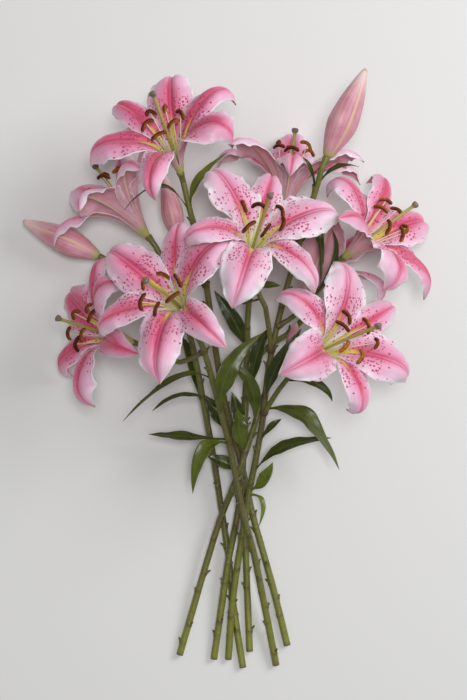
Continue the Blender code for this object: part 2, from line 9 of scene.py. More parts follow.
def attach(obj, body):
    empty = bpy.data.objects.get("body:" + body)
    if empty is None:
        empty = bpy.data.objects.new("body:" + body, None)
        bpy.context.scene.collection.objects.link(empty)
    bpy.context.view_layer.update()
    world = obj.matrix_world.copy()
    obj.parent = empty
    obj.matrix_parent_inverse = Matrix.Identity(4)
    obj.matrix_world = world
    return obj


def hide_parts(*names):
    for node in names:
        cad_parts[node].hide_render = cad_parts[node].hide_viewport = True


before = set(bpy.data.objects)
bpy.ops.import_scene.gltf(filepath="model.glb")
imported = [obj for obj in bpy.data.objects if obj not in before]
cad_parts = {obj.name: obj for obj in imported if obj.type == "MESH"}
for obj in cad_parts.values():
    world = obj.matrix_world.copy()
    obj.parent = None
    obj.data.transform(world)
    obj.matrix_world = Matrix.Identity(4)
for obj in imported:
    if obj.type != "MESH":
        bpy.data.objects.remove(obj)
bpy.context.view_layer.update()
print("frame loaded:", len(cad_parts), "nodes")

# moves the whole bunch so that its box stands centred on the origin
bunchPlace = Vector((0.009, 0.0304, 0.0))

# flowers: where the stalk ends, the way the flower faces, the way its clock starts ("top"), where
# its style aims, how rosy it is ("blush"), how far its stamens reach where that isn't the usual
# ("stamens"), and six petals as (clock, flare, curl, reach): the angle round the flower from the
# top, the angle to its axis halfway and at the tip, and the length as a share of the usual one;
# broad inner and narrow outer petals take turns
flowers = {
    "middle": {
        "place": (0.017, 0.100, 0.140), "facing": (0.20, 0.60, 0.77), "top": (0, 1, 0),
        "aim": (0.22, 0.63, 0.75), "blush": 0.34,
        "petals": [
            (-28, 69, 120, 1.04), (20, 62, 140, 0.98), (80, 62, 120, 1.05),
            (140, 80, 150, 1.02), (203, 88, 134, 1.02), (262, 68, 165, 1.05),
        ],
    },
    "low_left": {
        "place": (-0.052, 0.038, 0.143), "facing": (-0.32, 0.45, 0.83), "top": (0, 1, 0),
        "aim": (-0.40, 0.35, 0.85), "blush": 0.46,
        "petals": [
            (-58, 62, 112, 1.04), (-3, 72, 127, 1.03), (47, 57, 145, 1.08),
            (130, 70, 137, 1.05), (180, 79, 130, 1.05), (243, 75, 150, 1.06),
        ],
    },
    "low_right": {
        "place": (0.087, -0.006, 0.125), "facing": (0.58, 0.32, 0.75), "top": (0, 1, 0),
        "aim": (0.68, 0.32, 0.66), "blush": 0.38,
        "petals": [
            (7, 53, 127, 1.05), (64, 64, 112, 1.05), (122, 55, 122, 1.04),
            (175, 71, 165, 1.04), (248, 69, 128, 1.03), (313, 74, 165, 1.03),
        ],
    },
    "top_left": {
        "place": (-0.059, 0.197, 0.115), "facing": (-0.22, 0.72, 0.66), "top": (0, 1, 0),
        "aim": (-0.28, 0.80, 0.53), "blush": 0.75,
        "petals": [
            (-8, 50, 105, 1.02), (48, 52, 150, 1.10), (98, 52, 150, 1.02),
            (180, 75, 150, 1.05), (256, 75, 137, 1.04), (300, 60, 124, 1.06),
        ],
    },
    "right": {
        "place": (0.125, 0.105, 0.080), "facing": (0.71, 0.55, 0.44), "top": (0, 1, 0),
        "aim": (0.79, 0.58, 0.22), "blush": 0.75,
        "petals": [
            (-20, 70, 170, 0.98), (32, 49, 131, 1.05), (90, 53, 102, 1.04),
            (148, 72, 131, 1.05), (208, 66, 136, 1.02), (272, 66, 95, 1.03),
        ],
    },
    "far_left": {
        "place": (-0.116, 0.009, 0.057), "facing": (-0.83, 0.28, 0.49), "top": (0, 1, 0),
        "aim": (-0.79, 0.26, 0.55), "blush": 0.80,
        "petals": [
            (50, 45, 132, 1.04), (105, 76, 131, 1.03), (165, 70, 127, 1.00),
            (233, 73, 155, 1.01), (300, 76, 95, 1.02), (350, 67, 127, 1.03),
        ],
    },
    "back_left": {
        "place": (-0.098, 0.130, 0.056), "facing": (-0.60, 0.78, 0.10), "top": (0, 0, 1),
        "aim": (-0.585, 0.785, 0.20), "blush": 0.60, "stamens": 1.16,
        "petals": [
            (32, 42, 95, 0.96), (90, 58, 110, 1.00), (150, 38, 60, 1.00),
            (210, 38, 60, 1.00), (270, 45, 80, 1.00), (332, 46, 110, 1.02),
        ],
    },
    "back_top": {
        "place": (0.056, 0.151, 0.062), "facing": (0.14, 0.98, 0.10), "top": (0, 0, 1),
        "aim": (0.14, 0.98, 0.10), "blush": 0.60, "stamens": 1.16,
        "petals": [
            (-66, 46, 75, 1.00), (0, 42, 160, 0.92), (52, 50, 80, 1.00),
            (108, 62, 125, 1.04), (180, 36, 55, 1.00), (245, 62, 110, 1.02),
        ],
    },
    "back_right": {
        "place": (0.081, 0.046, 0.050), "facing": (0.27, 0.96, 0.00), "top": (0, 0, 1),
        "aim": (0.27, 0.96, 0.00), "blush": 0.60,
        "petals": [
            (0, 24, 40, 1.00), (60, 26, 45, 1.00), (120, 24, 40, 1.00),
            (180, 20, 30, 1.00), (234, 26, 45, 1.00), (282, 74, 150, 1.05),
        ],
    },
}

# buds: where the stalk ends, the way the bud points, its length and its widest radius
buds = {
    "top": {
        "place": (0.103, 0.213, 0.122), "facing": (0.40, 0.91, 0.08), "length": 0.106, "radius": 0.0170,
    },
    "left": {
        "place": (-0.155, 0.108, 0.034), "facing": (-0.90, 0.42, -0.02), "length": 0.098, "radius": 0.0160,
    },
    "back": {
        "place": (-0.064, 0.126, 0.048), "facing": (-0.20, 0.97, 0.00), "length": 0.078, "radius": 0.0125,
    },
    "small": {
        "place": (0.065, -0.003, 0.058), "facing": (0.18, 0.97, -0.08), "length": 0.036, "radius": 0.0080,
    },
}

# stems: the run from the cut end up to just below the head, the head, and the side stalks as
# (share of the run where it leaves, points that it passes, head)
stems = {
    "front_left": {
        "run": [
            (0.050, -0.369, 0.0048), (0.024, -0.237, 0.028), (0.012, -0.194, 0.038),
            (0.003, -0.147, 0.044), (-0.006, -0.104, 0.052), (-0.015, -0.068, 0.061),
            (-0.024, -0.034, 0.076), (-0.034, 0.002, 0.100),
        ],
        "head": ("flower", "low_left"),
        "sides": [(0.86, [(-0.060, -0.014, 0.064), (-0.088, -0.006, 0.058)], ("flower", "far_left"))],
    },
    "far_left": {
        "run": [
            (0.011, -0.372, 0.0046), (-0.001, -0.293, 0.0050), (-0.006, -0.240, 0.0060),
            (-0.015, -0.181, 0.009), (-0.022, -0.132, 0.018), (-0.034, -0.064, 0.033),
            (-0.046, 0.000, 0.046), (-0.058, 0.046, 0.050), (-0.077, 0.094, 0.053),
        ],
        "head": ("flower", "back_left"),
        "sides": [(0.86, [(-0.085, 0.058, 0.043), (-0.120, 0.088, 0.037)], ("bud", "left"))],
    },
    "main_right": {
        "run": [
            (-0.006, -0.362, 0.0045), (-0.001, -0.292, 0.0150), (0.006, -0.242, 0.020),
            (0.011, -0.212, 0.024), (0.019, -0.159, 0.033), (0.025, -0.130, 0.039),
            (0.034, -0.076, 0.049), (0.039, -0.029, 0.056), (0.049, 0.026, 0.065),
            (0.066, 0.091, 0.074), (0.079, 0.138, 0.090), (0.094, 0.186, 0.111),
        ],
        "head": ("bud", "top"),
        "sides": [
            (0.49, [(0.052, -0.044, 0.070), (0.068, -0.024, 0.096)], ("flower", "low_right")),
            (0.61, [(0.036, 0.048, 0.086), (0.020, 0.075, 0.112)], ("flower", "middle")),
            (0.66, [(0.075, 0.043, 0.068), (0.103, 0.076, 0.070)], ("flower", "right")),
        ],
    },
    "low_right": {
        "run": [
            (-0.063, -0.357, 0.0048), (-0.032, -0.250, 0.014), (-0.016, -0.198, 0.019),
            (-0.004, -0.168, 0.025), (0.008, -0.136, 0.032), (0.023, -0.091, 0.036),
            (0.033, -0.058, 0.038), (0.048, -0.028, 0.044),
        ],
        "head": ("bud", "small"),
        "sides": [],
    },
    "back_right": {
        "run": [
            (-0.023, -0.362, 0.0045), (-0.014, -0.300, 0.010), (-0.006, -0.246, 0.015),
            (0.003, -0.201, 0.019), (0.009, -0.163, 0.022), (0.012, -0.116, 0.024),
            (0.014, -0.070, 0.027), (0.019, -0.023, 0.032), (0.038, 0.002, 0.036),
            (0.062, 0.018, 0.042),
        ],
        "head": ("flower", "back_right"),
        "sides": [],
    },
    "back_top": {
        "run": [
            (0.019, -0.353, 0.0046), (0.016, -0.277, 0.0046), (0.014, -0.227, 0.0046),
            (0.011, -0.176, 0.0050), (0.011, -0.129, 0.0060), (0.013, -0.070, 0.012),
            (0.016, 0.000, 0.026), (0.018, 0.058, 0.042), (0.036, 0.104, 0.052),
        ],
        "head": ("flower", "back_top"),
        "sides": [],
    },
    "top_left": {
        "run": [
            (0.063, -0.346, 0.0046), (0.045, -0.273, 0.0070), (0.027, -0.210, 0.0095),
            (0.020, -0.182, 0.011), (0.011, -0.140, 0.0150), (-0.002, -0.093, 0.024),
            (-0.013, -0.046, 0.036), (-0.022, 0.011, 0.050), (-0.030, 0.068, 0.066),
            (-0.037, 0.113, 0.082), (-0.048, 0.153, 0.099),
        ],
        "head": ("flower", "top_left"),
        "sides": [(0.76, [(-0.046, 0.092, 0.056)], ("bud", "back"))],
    },
}

# leaves: the stem, or the stem and the number of its side stalk, the share along that, the point
# that the leaf arches towards, its tip, the way its upper side faces, and its widest half width
leaves = {
    "left_long": (
        "front_left", 0.78, (-0.060, -0.010, 0.100), (-0.125, -0.081, 0.080), (-0.3, 0.75, 0.6), 0.0062,
    ),
    "left_short": (
        "front_left", 0.71, (-0.062, -0.038, 0.076), (-0.093, -0.070, 0.066), (-0.2, 0.8, 0.5), 0.0045,
    ),
    "left_level": (
        "front_left", 0.61, (-0.070, -0.098, 0.067), (-0.097, -0.096, 0.054), (0.0, 0.7, 0.7), 0.0068,
    ),
    "left_bright": (
        "front_left", 0.60, (-0.041, -0.094, 0.086), (-0.046, -0.164, 0.062), (-0.4, 0.4, 0.8), 0.0090,
    ),
    "heart": (
        "front_left", 0.68, (-0.022, -0.024, 0.092), (0.032, 0.020, 0.078), (0.35, 0.0, 0.93), 0.0113,
    ),
    "right_long": (
        "main_right", 0.50, (0.083, -0.056, 0.068), (0.121, -0.136, 0.062), (0.3, 0.6, 0.75), 0.0124,
    ),
    "right_level": (
        "main_right", 0.38, (0.052, -0.101, 0.058), (0.113, -0.101, 0.046), (-0.1, 0.8, 0.6), 0.0090,
    ),
    "right_bright": (
        "main_right", 0.34, (0.038, -0.152, 0.053), (0.044, -0.128, 0.054), (-0.5, 0.3, 0.8), 0.0079,
    ),
    "right_low": (
        "main_right", 0.33, (0.042, -0.165, 0.048), (0.029, -0.204, 0.040), (0.5, 0.2, 0.8), 0.0034,
    ),
    "right_small": (
        "main_right", 0.44, (0.043, -0.084, 0.059), (0.055, -0.079, 0.054), (-0.2, 0.7, 0.7), 0.0045,
    ),
    "right_upper": (
        "main_right", 0.52, (0.042, -0.022, 0.080), (0.077, 0.025, 0.078), (-0.5, 0.2, 0.85), 0.0085,
    ),
    "right_arch": (
        "main_right", 0.83, (0.102, 0.161, 0.100), (0.098, 0.071, 0.092), (0.6, 0.4, 0.7), 0.0056,
    ),
    "right_end": (
        ("main_right", 0), 0.50, (0.105, -0.032, 0.078), (0.112, -0.059, 0.070), (0.2, 0.5, 0.8), 0.0050,
    ),
    "right_spear": (
        ("main_right", 2), 0.41, (0.128, 0.103, 0.080), (0.110, 0.135, 0.097), (0.5, 0.1, 0.86), 0.0040,
    ),
    "heart_right": (
        ("main_right", 1), 0.61, (0.037, 0.075, 0.101), (0.053, 0.072, 0.098), (0.0, 0.6, 0.8), 0.0051,
    ),
    "heart_left": (
        ("main_right", 1), 0.52, (0.006, 0.049, 0.092), (-0.002, 0.070, 0.090), (0.0, 0.6, 0.8), 0.0056,
    ),
    "bud_left": (
        "main_right", 0.94, (0.087, 0.205, 0.128), (0.076, 0.213, 0.122), (-0.4, 0.2, 0.9), 0.0023,
    ),
    "bud_right": (
        "main_right", 0.95, (0.112, 0.210, 0.122), (0.140, 0.203, 0.112), (0.1, 0.8, 0.6), 0.0045,
    ),
    "inner_right": (
        "low_right", 0.73, (0.033, -0.037, 0.055), (-0.006, -0.015, 0.054), (0.4, 0.2, 0.86), 0.0090,
    ),
    "inner_top": (
        "low_right", 0.65, (0.006, -0.092, 0.049), (0.004, -0.066, 0.052), (0.2, -0.2, 0.9), 0.0096,
    ),
    "dark_left": (
        "far_left", 0.57, (-0.047, -0.002, 0.039), (-0.061, 0.015, 0.044), (0.3, 0.1, 0.9), 0.0068,
    ),
    "dark_middle": (
        "top_left", 0.45, (-0.024, -0.069, 0.037), (-0.032, -0.051, 0.038), (0.3, 0.0, 0.95), 0.0079,
    ),
    "dark_low": (
        "top_left", 0.37, (-0.013, -0.129, 0.030), (-0.030, -0.122, 0.028), (0.1, 0.5, 0.85), 0.0079,
    ),
    "dark_top": (
        "top_left", 0.84, (-0.017, 0.133, 0.061), (-0.004, 0.112, 0.060), (0.1, 0.8, 0.6), 0.0068,
    ),
    "top_right": (
        "top_left", 0.93, (-0.048, 0.189, 0.112), (-0.007, 0.221, 0.100), (-0.5, 0.3, 0.8), 0.0062,
    ),
    "top_left": (
        "top_left", 0.92, (-0.078, 0.207, 0.126), (-0.122, 0.157, 0.098), (0.1, 0.9, 0.4), 0.0045,
    ),
    "dark_upper": (
        "back_right", 0.62, (0.006, -0.074, 0.034), (-0.003, -0.048, 0.036), (0.2, 0.0, 0.95), 0.0079,
    ),
    "dark_right": (
        "back_right", 0.70, (0.026, 0.004, 0.046), (0.041, 0.026, 0.050), (-0.2, 0.0, 0.95), 0.0079,
    ),
    "dark_broad": (
        "back_top", 0.69, (0.004, 0.032, 0.051), (-0.022, 0.069, 0.046), (0.2, 0.0, 0.95), 0.0090,
    ),
}


def smooth(t):
    # eases from 0 to 1
    t = min(1.0, max(0.0, t))
    return t * t * (3.0 - 2.0 * t)


def between(low, high, t):
    # 0 below low, 1 above high, eased in the middle
    return smooth((t - low) / (high - low))


def bell(distance, width):
    # 1 at no distance, falling off to both sides
    return math.exp(-((distance / width) ** 2))


def turned(first, second, angle):
    return first * math.cos(angle) + second * math.sin(angle)


def through(points, steps):
    # a smooth run of points through the given ones, with so many steps between two of them
    ends = [points[0] * 2.0 - points[1]] + points + [points[-1] * 2.0 - points[-2]]
    run = []
    for i in range(1, len(ends) - 2):
        a, b, c, d = ends[i - 1 : i + 3]
        for step in range(steps):
            t = step / steps
            run.append(
                0.5 * ((b * 2.0) + (c - a) * t + (a * 2.0 - b * 5.0 + c * 4.0 - d) * t * t
                       + (b * 3.0 - a - c * 3.0 + d) * t ** 3)
            )
    run.append(points[-1].copy())
    return run


def along(run, share):
    # the point at a share of a run's length, and the run's direction there
    lengths = [(b - a).length for a, b in zip(run, run[1:])]
    left = share * sum(lengths)
    for a, b, length in zip(run, run[1:], lengths):
        if left <= length:
            return a.lerp(b, left / length), (b - a).normalized()
        left -= length
    return run[-1].copy(), (run[-1] - run[-2]).normalized()


def placed(point):
    return Vector(point) + bunchPlace


def facingAxes(flower):
    # the way a flower faces, the way to its top, and the way to its right seen from the front
    axis = Vector(flower["facing"]).normalized()
    up = Vector(flower["top"])
    up = (up - axis * up.dot(axis)).normalized()
    return axis, up, up.cross(axis)


def headSeat(head):
    kind, name = head
    one = flowers[name] if kind == "flower" else buds[name]
    return placed(one["place"]), Vector(one["facing"]).normalized()


# a stalk's last stretch is straight along its head's axis and stops just short of the head
headGap = 0.0001
mainNeck = 0.014
sideNeck = 0.012


def upTo(head, points, neck):
    seat, axis = headSeat(head)
    return through(points + [seat - axis * neck, seat - axis * headGap], 2)


def stemRun(name):
    stem = stems[name]
    return upTo(stem["head"], [placed(p) for p in stem["run"]], mainNeck)


def sideRun(name, side):
    share, via, head = side
    start, _ = along(stemRun(name), share)
    return upTo(head, [start] + [placed(p) for p in via], sideNeck)


def addSheet(bm, columns, rows, shape, names, closed):
    # a flat grid moved onto a surface: shape gives each corner its place, its flat place and
    # its named values, for across from -1 to 1 and up from 0 to 1
    uvLayer = bm.loops.layers.uv.get("surface") or bm.loops.layers.uv.new("surface")
    layers = [bm.verts.layers.float.get(n) or bm.verts.layers.float.new(n) for n in names]
    made = bmesh.ops.create_grid(bm, x_segments=columns, y_segments=rows, size=1.0)["verts"]
    flat = {}
    for vert in made:
        place, uv, values = shape(vert.co.x, (vert.co.y + 1.0) / 2.0)
        flat[vert] = uv
        vert.co = place
        for layer, value in zip(layers, values):
            vert[layer] = value
    for face in {f for v in made for f in v.link_faces}:
        for loop in face.loops:
            loop[uvLayer].uv = flat[loop.vert]
    bmesh.ops.remove_doubles(bm, verts=made, dist=2e-6)
    made = [v for v in made if v.is_valid]
    if closed:
        rims = list({e for v in made for e in v.link_edges if e.is_boundary})
        if rims:
            bmesh.ops.holes_fill(bm, edges=rims, sides=0)
        bmesh.ops.recalc_face_normals(bm, faces=list({f for v in made for f in v.link_faces}))


def newMesh(name, bm):
    mesh = bpy.data.meshes.new(name)
    bm.to_mesh(mesh)
    bm.free()
    return mesh


def newObject(name, data):
    made = bpy.data.objects.new(name, data)
    bpy.context.scene.collection.objects.link(made)
    return made


def finishPiece(name, bm, materials, node, shell=0.0, offset=-1.0):
    # a shell makes a sheet into a thin solid, with the second material on its far side
    mesh = newMesh(name, bm)
    for finish in materials:
        mesh.materials.append(finish)
    mesh.shade_smooth()
    piece = newObject(name, mesh)
    if shell:
        wall = piece.modifiers.new("thickness", "SOLIDIFY")
        wall.thickness = shell
        wall.offset = offset
        wall.use_even_offset = False
        if len(materials) > 1:
            wall.material_offset = 1
    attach(piece, "root")
    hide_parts(node)
    return piece


def tubeFrames(points):
    # a direction and two crossing ways at each point, turned as little as it takes
    frames, direction, first = [], None, None
    for i, point in enumerate(points):
        ahead, behind = points[min(i + 1, len(points) - 1)], points[max(i - 1, 0)]
        new = (ahead - behind).normalized()
        if first is None:
            first = new.orthogonal().normalized()
        else:
            first = direction.rotation_difference(new) @ first
            first = (first - new * first.dot(new)).normalized()
        direction = new
        frames.append((point, first.copy(), new.cross(first)))
    return frames


def resampled(run, step):
    # points along a run at even steps
    length = sum((b - a).length for a, b in zip(run, run[1:]))
    count = max(2, round(length / step))
    return [along(run, i / count)[0] for i in range(count + 1)], length


# metres that one unit of a sheet's flat place covers, and how a tube's flat place is scaled
sheetFlat = 0.14
tubeFlat = (0.1, 4.0)


def addTube(bm, run, step, sides, radiusAt, names, valuesAt):
    # a closed tube: radiusAt gives the radius for a turn and a distance, valuesAt its values
    points, length = resampled(run, step)
    frames = tubeFrames(points)
    last = len(points) - 1

    def shape(across, up):
        i = round(up * last)
        turn = math.pi * (across + 1.0)
        centre, first, second = frames[i]
        radius = radiusAt(turn, i / last * length, length)
        flat = ((across + 1.0) / 2.0 * tubeFlat[0], i / last * length * tubeFlat[1])
        place = centre + turned(first, second, turn) * radius
        return place, flat, valuesAt(turn, i / last * length, length)

    addSheet(bm, sides, last, shape, names, True)


def newMaterial(name):
    made = bpy.data.materials.new(name)
    made.use_nodes = True
    return made, made.node_tree, made.node_tree.nodes["Principled BSDF"]


def connect(tree, value, socket):
    if isinstance(value, bpy.types.NodeSocket):
        tree.links.new(value, socket)
    else:
        socket.default_value = value


def calc(tree, operation, a, b=0.0, clamp=False):
    node = tree.nodes.new("ShaderNodeMath")
    node.operation = operation
    node.use_clamp = clamp
    connect(tree, a, node.inputs[0])
    connect(tree, b, node.inputs[1])
    return node.outputs[0]


def times(tree, a, b):
    return calc(tree, "MULTIPLY", a, b)


def plus(tree, a, b, clamp=False):
    return calc(tree, "ADD", a, b, clamp)


def minus(tree, a, b, clamp=False):
    return calc(tree, "SUBTRACT", a, b, clamp)


def swing(tree, value, amount):
    # how far a grain swings about its middle
    return times(tree, minus(tree, value, 0.5), amount)


def window(tree, value, low, high, fromValue=0.0, toValue=1.0):
    # eased step from one value to another between low and high
    node = tree.nodes.new("ShaderNodeMapRange")
    node.interpolation_type = "SMOOTHSTEP"
    connect(tree, value, node.inputs["Value"])
    connect(tree, low, node.inputs["From Min"])
    connect(tree, high, node.inputs["From Max"])
    node.inputs["To Min"].default_value = fromValue
    node.inputs["To Max"].default_value = toValue
    return node.outputs["Result"]


def fading(tree, value, low, high):
    return window(tree, value, low, high, 1.0, 0.0)


def blend(tree, factor, a, b):
    node = tree.nodes.new("ShaderNodeMix")
    node.data_type = "RGBA"
    connect(tree, factor, node.inputs[0])
    for value, socket in ((a, node.inputs[6]), (b, node.inputs[7])):
        connect(tree, (*value, 1.0) if isinstance(value, tuple) else value, socket)
    return node.outputs[2]


def ramp(tree, factor, stops):
    node = tree.nodes.new("ShaderNodeValToRGB")
    connect(tree, factor, node.inputs[0])
    marks = node.color_ramp.elements
    while len(marks) < len(stops):
        marks.new(0.5)
    for mark, (position, color) in zip(marks, stops):
        mark.position = position
        mark.color = (*color, 1.0)
    return node.outputs[0]


def valueOf(tree, name):
    node = tree.nodes.new("ShaderNodeAttribute")
    node.attribute_name = name
    return node.outputs["Fac"]


def flatPlace(tree, scale):
    where = tree.nodes.new("ShaderNodeUVMap")
    where.uv_map = "surface"
    node = tree.nodes.new("ShaderNodeMapping")
    tree.links.new(where.outputs[0], node.inputs["Vector"])
    node.inputs["Scale"].default_value = (scale[0], scale[1], 1.0)
    return node.outputs[0]


def grain(tree, place, scale, detail, roughness=0.5):
    node = tree.nodes.new("ShaderNodeTexNoise")
    tree.links.new(place, node.inputs["Vector"])
    node.inputs["Scale"].default_value = scale
    node.inputs["Detail"].default_value = detail
    node.inputs["Roughness"].default_value = roughness
    node.inputs["Distortion"].default_value = 0.0
    return node.outputs["Fac"]


def drawnOut(tree, scale, detail, roughness=0.5):
    # grain stretched along a surface
    return grain(tree, flatPlace(tree, scale), 1.0, detail, roughness)


def speckled(tree, scale, detail, roughness=0.5):
    # grain through an object's own space
    place = tree.nodes.new("ShaderNodeTexCoord").outputs["Object"]
    return grain(tree, place, scale, detail, roughness)


def surfaced(tree, shader, color, roughness, specular=0.5):
    tree.links.new(color, shader.inputs["Base Color"])
    shader.inputs["Roughness"].default_value = roughness
    shader.inputs["Specular IOR Level"].default_value = specular


def fleshy(shader, share, radius=(1.0, 0.35, 0.35), scale=0.004):
    # light that sinks in and comes out again redder than it went in
    shader.inputs["Subsurface Weight"].default_value = share
    shader.inputs["Subsurface Radius"].default_value = radius
    shader.inputs["Subsurface Scale"].default_value = scale


def bumped(tree, shader, height, strength, distance):
    node = tree.nodes.new("ShaderNodeBump")
    node.inputs["Strength"].default_value = strength
    node.inputs["Distance"].default_value = distance
    tree.links.new(height, node.inputs["Height"])
    tree.links.new(node.outputs[0], shader.inputs["Normal"])


# sizes in metres and angles in degrees; shares run along the blade from the throat at 0 to the
# tip at 1, and across it from the middle at 0 to the edge at 1
petalShape = {
    "length": 0.112, "longer": 1.05, "innerHalfWidth": 0.0275, "outerHalfWidth": 0.0185,
    "foot": 0.22, "fullest": 0.5, "taper": 2.9, "innerShare": 42.0, "outerShare": 33.0, "roomUpTo": 0.5,
    "throatAngle": 15.0, "seatRadius": 0.0030, "seatDepth": 0.0008,
    "throatRadius": 0.0078, "throatHeight": 0.0160, "step": 0.0004,
    "flared": 0.5, "curlFrom": 0.45, "hookFrom": 0.66, "hook": 62.0, "hookRange": (0.45, 1.05),
    "twist": 7.0, "sway": 0.0012, "crowding": 1.5,
    "cup": 0.85, "cupEase": 0.20, "innerUncup": 1.55, "outerUncup": 1.75, "flattest": 0.02,
    "groove": 0.0016, "grooveWidth": 0.12, "lineOffset": 0.08, "lineWidth": 0.055,
    "valley": 0.35, "valleyWidth": 0.2, "pillow": 0.11, "pillowReach": 1.25,
    "innerRuffle": 0.0048, "outerRuffle": 0.0030, "ruffleEdge": 2.6,
    "longWaves": 5.5, "shortWaves": 13.0, "shortShare": 0.45, "crinkle": 0.05, "crinkles": 20.0,
    "blushSpread": 0.15, "outerBlush": 0.15, "neckFlat": 0.12,
    "columns": 28, "neckRows": 6, "bladeRows": 48, "thickness": 0.0005,
    "restHeight": 0.0080, "restGap": 0.0012,
}


def petalHalfWidth(s, widest):
    # narrow foot, full middle, pointed tip
    p = petalShape
    if s < p["fullest"]:
        return widest * (p["foot"] + (1.0 - p["foot"]) * smooth(s / p["fullest"]))
    return widest * (1.0 - ((s - p["fullest"]) / (1.0 - p["fullest"])) ** p["taper"])


def petalLine(base, axis, out, flare, curl, hook, length):
    # the middle of a petal as (point, angle to the axis, share of the blade), from its seat up
    p = petalShape
    seat = base + out * p["seatRadius"] - axis * p["seatDepth"]
    throat = base + axis * p["throatHeight"] + out * p["throatRadius"]
    start = math.radians(p["throatAngle"])
    rows = p["neckRows"]
    line = [(seat.lerp(throat, i / rows), start, i / rows - 1.0) for i in range(rows)]
    line.append((throat, start, 0.0))
    point = throat
    for i in range(1, p["bladeRows"] + 1):
        mid = (i - 0.5) / p["bladeRows"]
        opened = p["throatAngle"] + (flare - p["throatAngle"]) * smooth(mid / p["flared"])
        opened += (curl - flare) * smooth((mid - p["curlFrom"]) / (1.0 - p["curlFrom"]))
        opened += hook * between(p["hookFrom"], 1.0, mid)
        angle = math.radians(opened)
        point = point + turned(axis, out, angle) * (length / p["bladeRows"])
        line.append((point, angle, i / p["bladeRows"]))
    return line


def petalWrap(s, blade01, inner):
    # how far a petal bends across: a gutter at the throat, rolled back further up
    p = petalShape
    wrap = p["cup"] - p["cupEase"] * between(-0.6, 0.15, s)
    wrap -= (p["innerUncup"] if inner else p["outerUncup"]) * between(0.16, 0.80, blade01)
    return wrap if abs(wrap) > p["flattest"] else p["flattest"]


def petalCrease(u, s, inner):
    # the groove up the middle: two lines and a valley on a broad petal, one line on a narrow one
    p = petalShape
    creased = between(0.0, 0.2, s) * (1.0 - 0.6 * between(0.6, 1.0, s))
    if not inner:
        return p["groove"] * creased * bell(u, p["grooveWidth"])
    lines = bell(abs(u) - p["lineOffset"], p["lineWidth"])
    return p["groove"] * creased * (lines + p["valley"] * bell(u, p["valleyWidth"]))


def petalRuffle(u, s, blade01, seeds, ruffle, sign):
    # waves that grow towards the edges
    p = petalShape
    wave = noise.noise(Vector((blade01 * p["longWaves"] + seeds[2], sign * 4.0, seeds[0])))
    wave += p["shortShare"] * noise.noise(
        Vector((blade01 * p["shortWaves"] + seeds[1], sign * 6.0, seeds[2])))
    grown = ruffle * 2.0 * wave * abs(u) ** p["ruffleEdge"] * between(0.12, 0.45, blade01)
    return grown * (1.0 - 0.5 * between(0.85, 1.0, s))


def rested(place):
    # a point near the floor is pressed up from it
    low, gap = petalShape["restHeight"], petalShape["restGap"]
    if place.z < low:
        place.z = gap + (low - gap) * math.exp((place.z - low) / (low - gap))
    return place


def makePetal(flowerName, number, finishes):
    p = petalShape
    flower = flowers[flowerName]
    base = placed(flower["place"])
    axis, up, right = facingAxes(flower)
    clock, flare, curl, reach = flower["petals"][number]
    out = turned(up, right, math.radians(clock))
    side = out.cross(axis)
    inner = number % 2 == 0
    kind = "inner" if inner else "outer"
    widest = p[kind + "HalfWidth"]
    room = math.tan(math.radians(p[kind + "Share"]))
    draw = random.Random(f"petal {flowerName} {number}")
    seeds = [draw.uniform(0.0, 50.0) for _ in range(3)]
    twist = math.radians(draw.uniform(-p["twist"], p["twist"]))
    sway = draw.uniform(-p["sway"], p["sway"])
    hook = p["hook"] * draw.uniform(*p["hookRange"])
    blush = flower["blush"] + draw.uniform(-p["blushSpread"], p["blushSpread"])
    blush += 0.0 if inner else p["outerBlush"]
    blade = p["length"] * reach * p["longer"]
    line = petalLine(base, axis, out, flare, curl, hook, blade)
    last = len(line) - 1

    def shape(across, upwards):
        point, angle, s = line[round(upwards * last)]
        blade01 = max(s, 0.0)
        inward = axis * math.sin(angle) - out * math.cos(angle)
        half = petalHalfWidth(blade01, widest)
        if s < p["roomUpTo"]:
            half = min(half, (point - base).dot(out) * room)      # beside its neighbours in the throat
        sign = -1.0 if across < 0.0 else 1.0
        u = sign * abs(across) ** p["crowding"]
        crinkle = noise.noise(Vector((blade01 * p["crinkles"], sign * 3.0 + seeds[0], seeds[1])))
        half *= 1.0 + p["crinkle"] * crinkle * between(0.15, 0.4, blade01)
        wrap = petalWrap(s, blade01, inner)
        lateral = half / wrap * math.sin(u * wrap) + sway * math.sin(math.pi * blade01)
        lift = half / wrap * (1.0 - math.cos(u * wrap))
        lift += p["step"] if inner else -p["step"]
        puffed = math.sin(math.pi * min(1.0, abs(u) * p["pillowReach"]))
        lift += p["pillow"] * half * puffed * between(0.1, 0.45, blade01)
        lift -= petalCrease(u, s, inner)
        lift += petalRuffle(u, s, blade01, seeds, p[kind + "Ruffle"], sign)
        turn = twist * between(0.3, 1.0, blade01)
        place = point + turned(side, inward, turn) * lateral + turned(inward, -side, turn) * lift
        flat = (0.5 + half * u / sheetFlat, blade01 * blade / sheetFlat + min(s, 0.0) * p["neckFlat"])
        return rested(place), flat, (u, s, blush, 1.0 if inner else 0.0)

    bm = bmesh.new()
    addSheet(bm, p["columns"], last, shape, ("across", "along", "blush", "broad"), False)
    return finishPiece(
        f"petal_{flowerName}_{number + 1}", bm, finishes, "petals_" + flowerName, p["thickness"]
    )


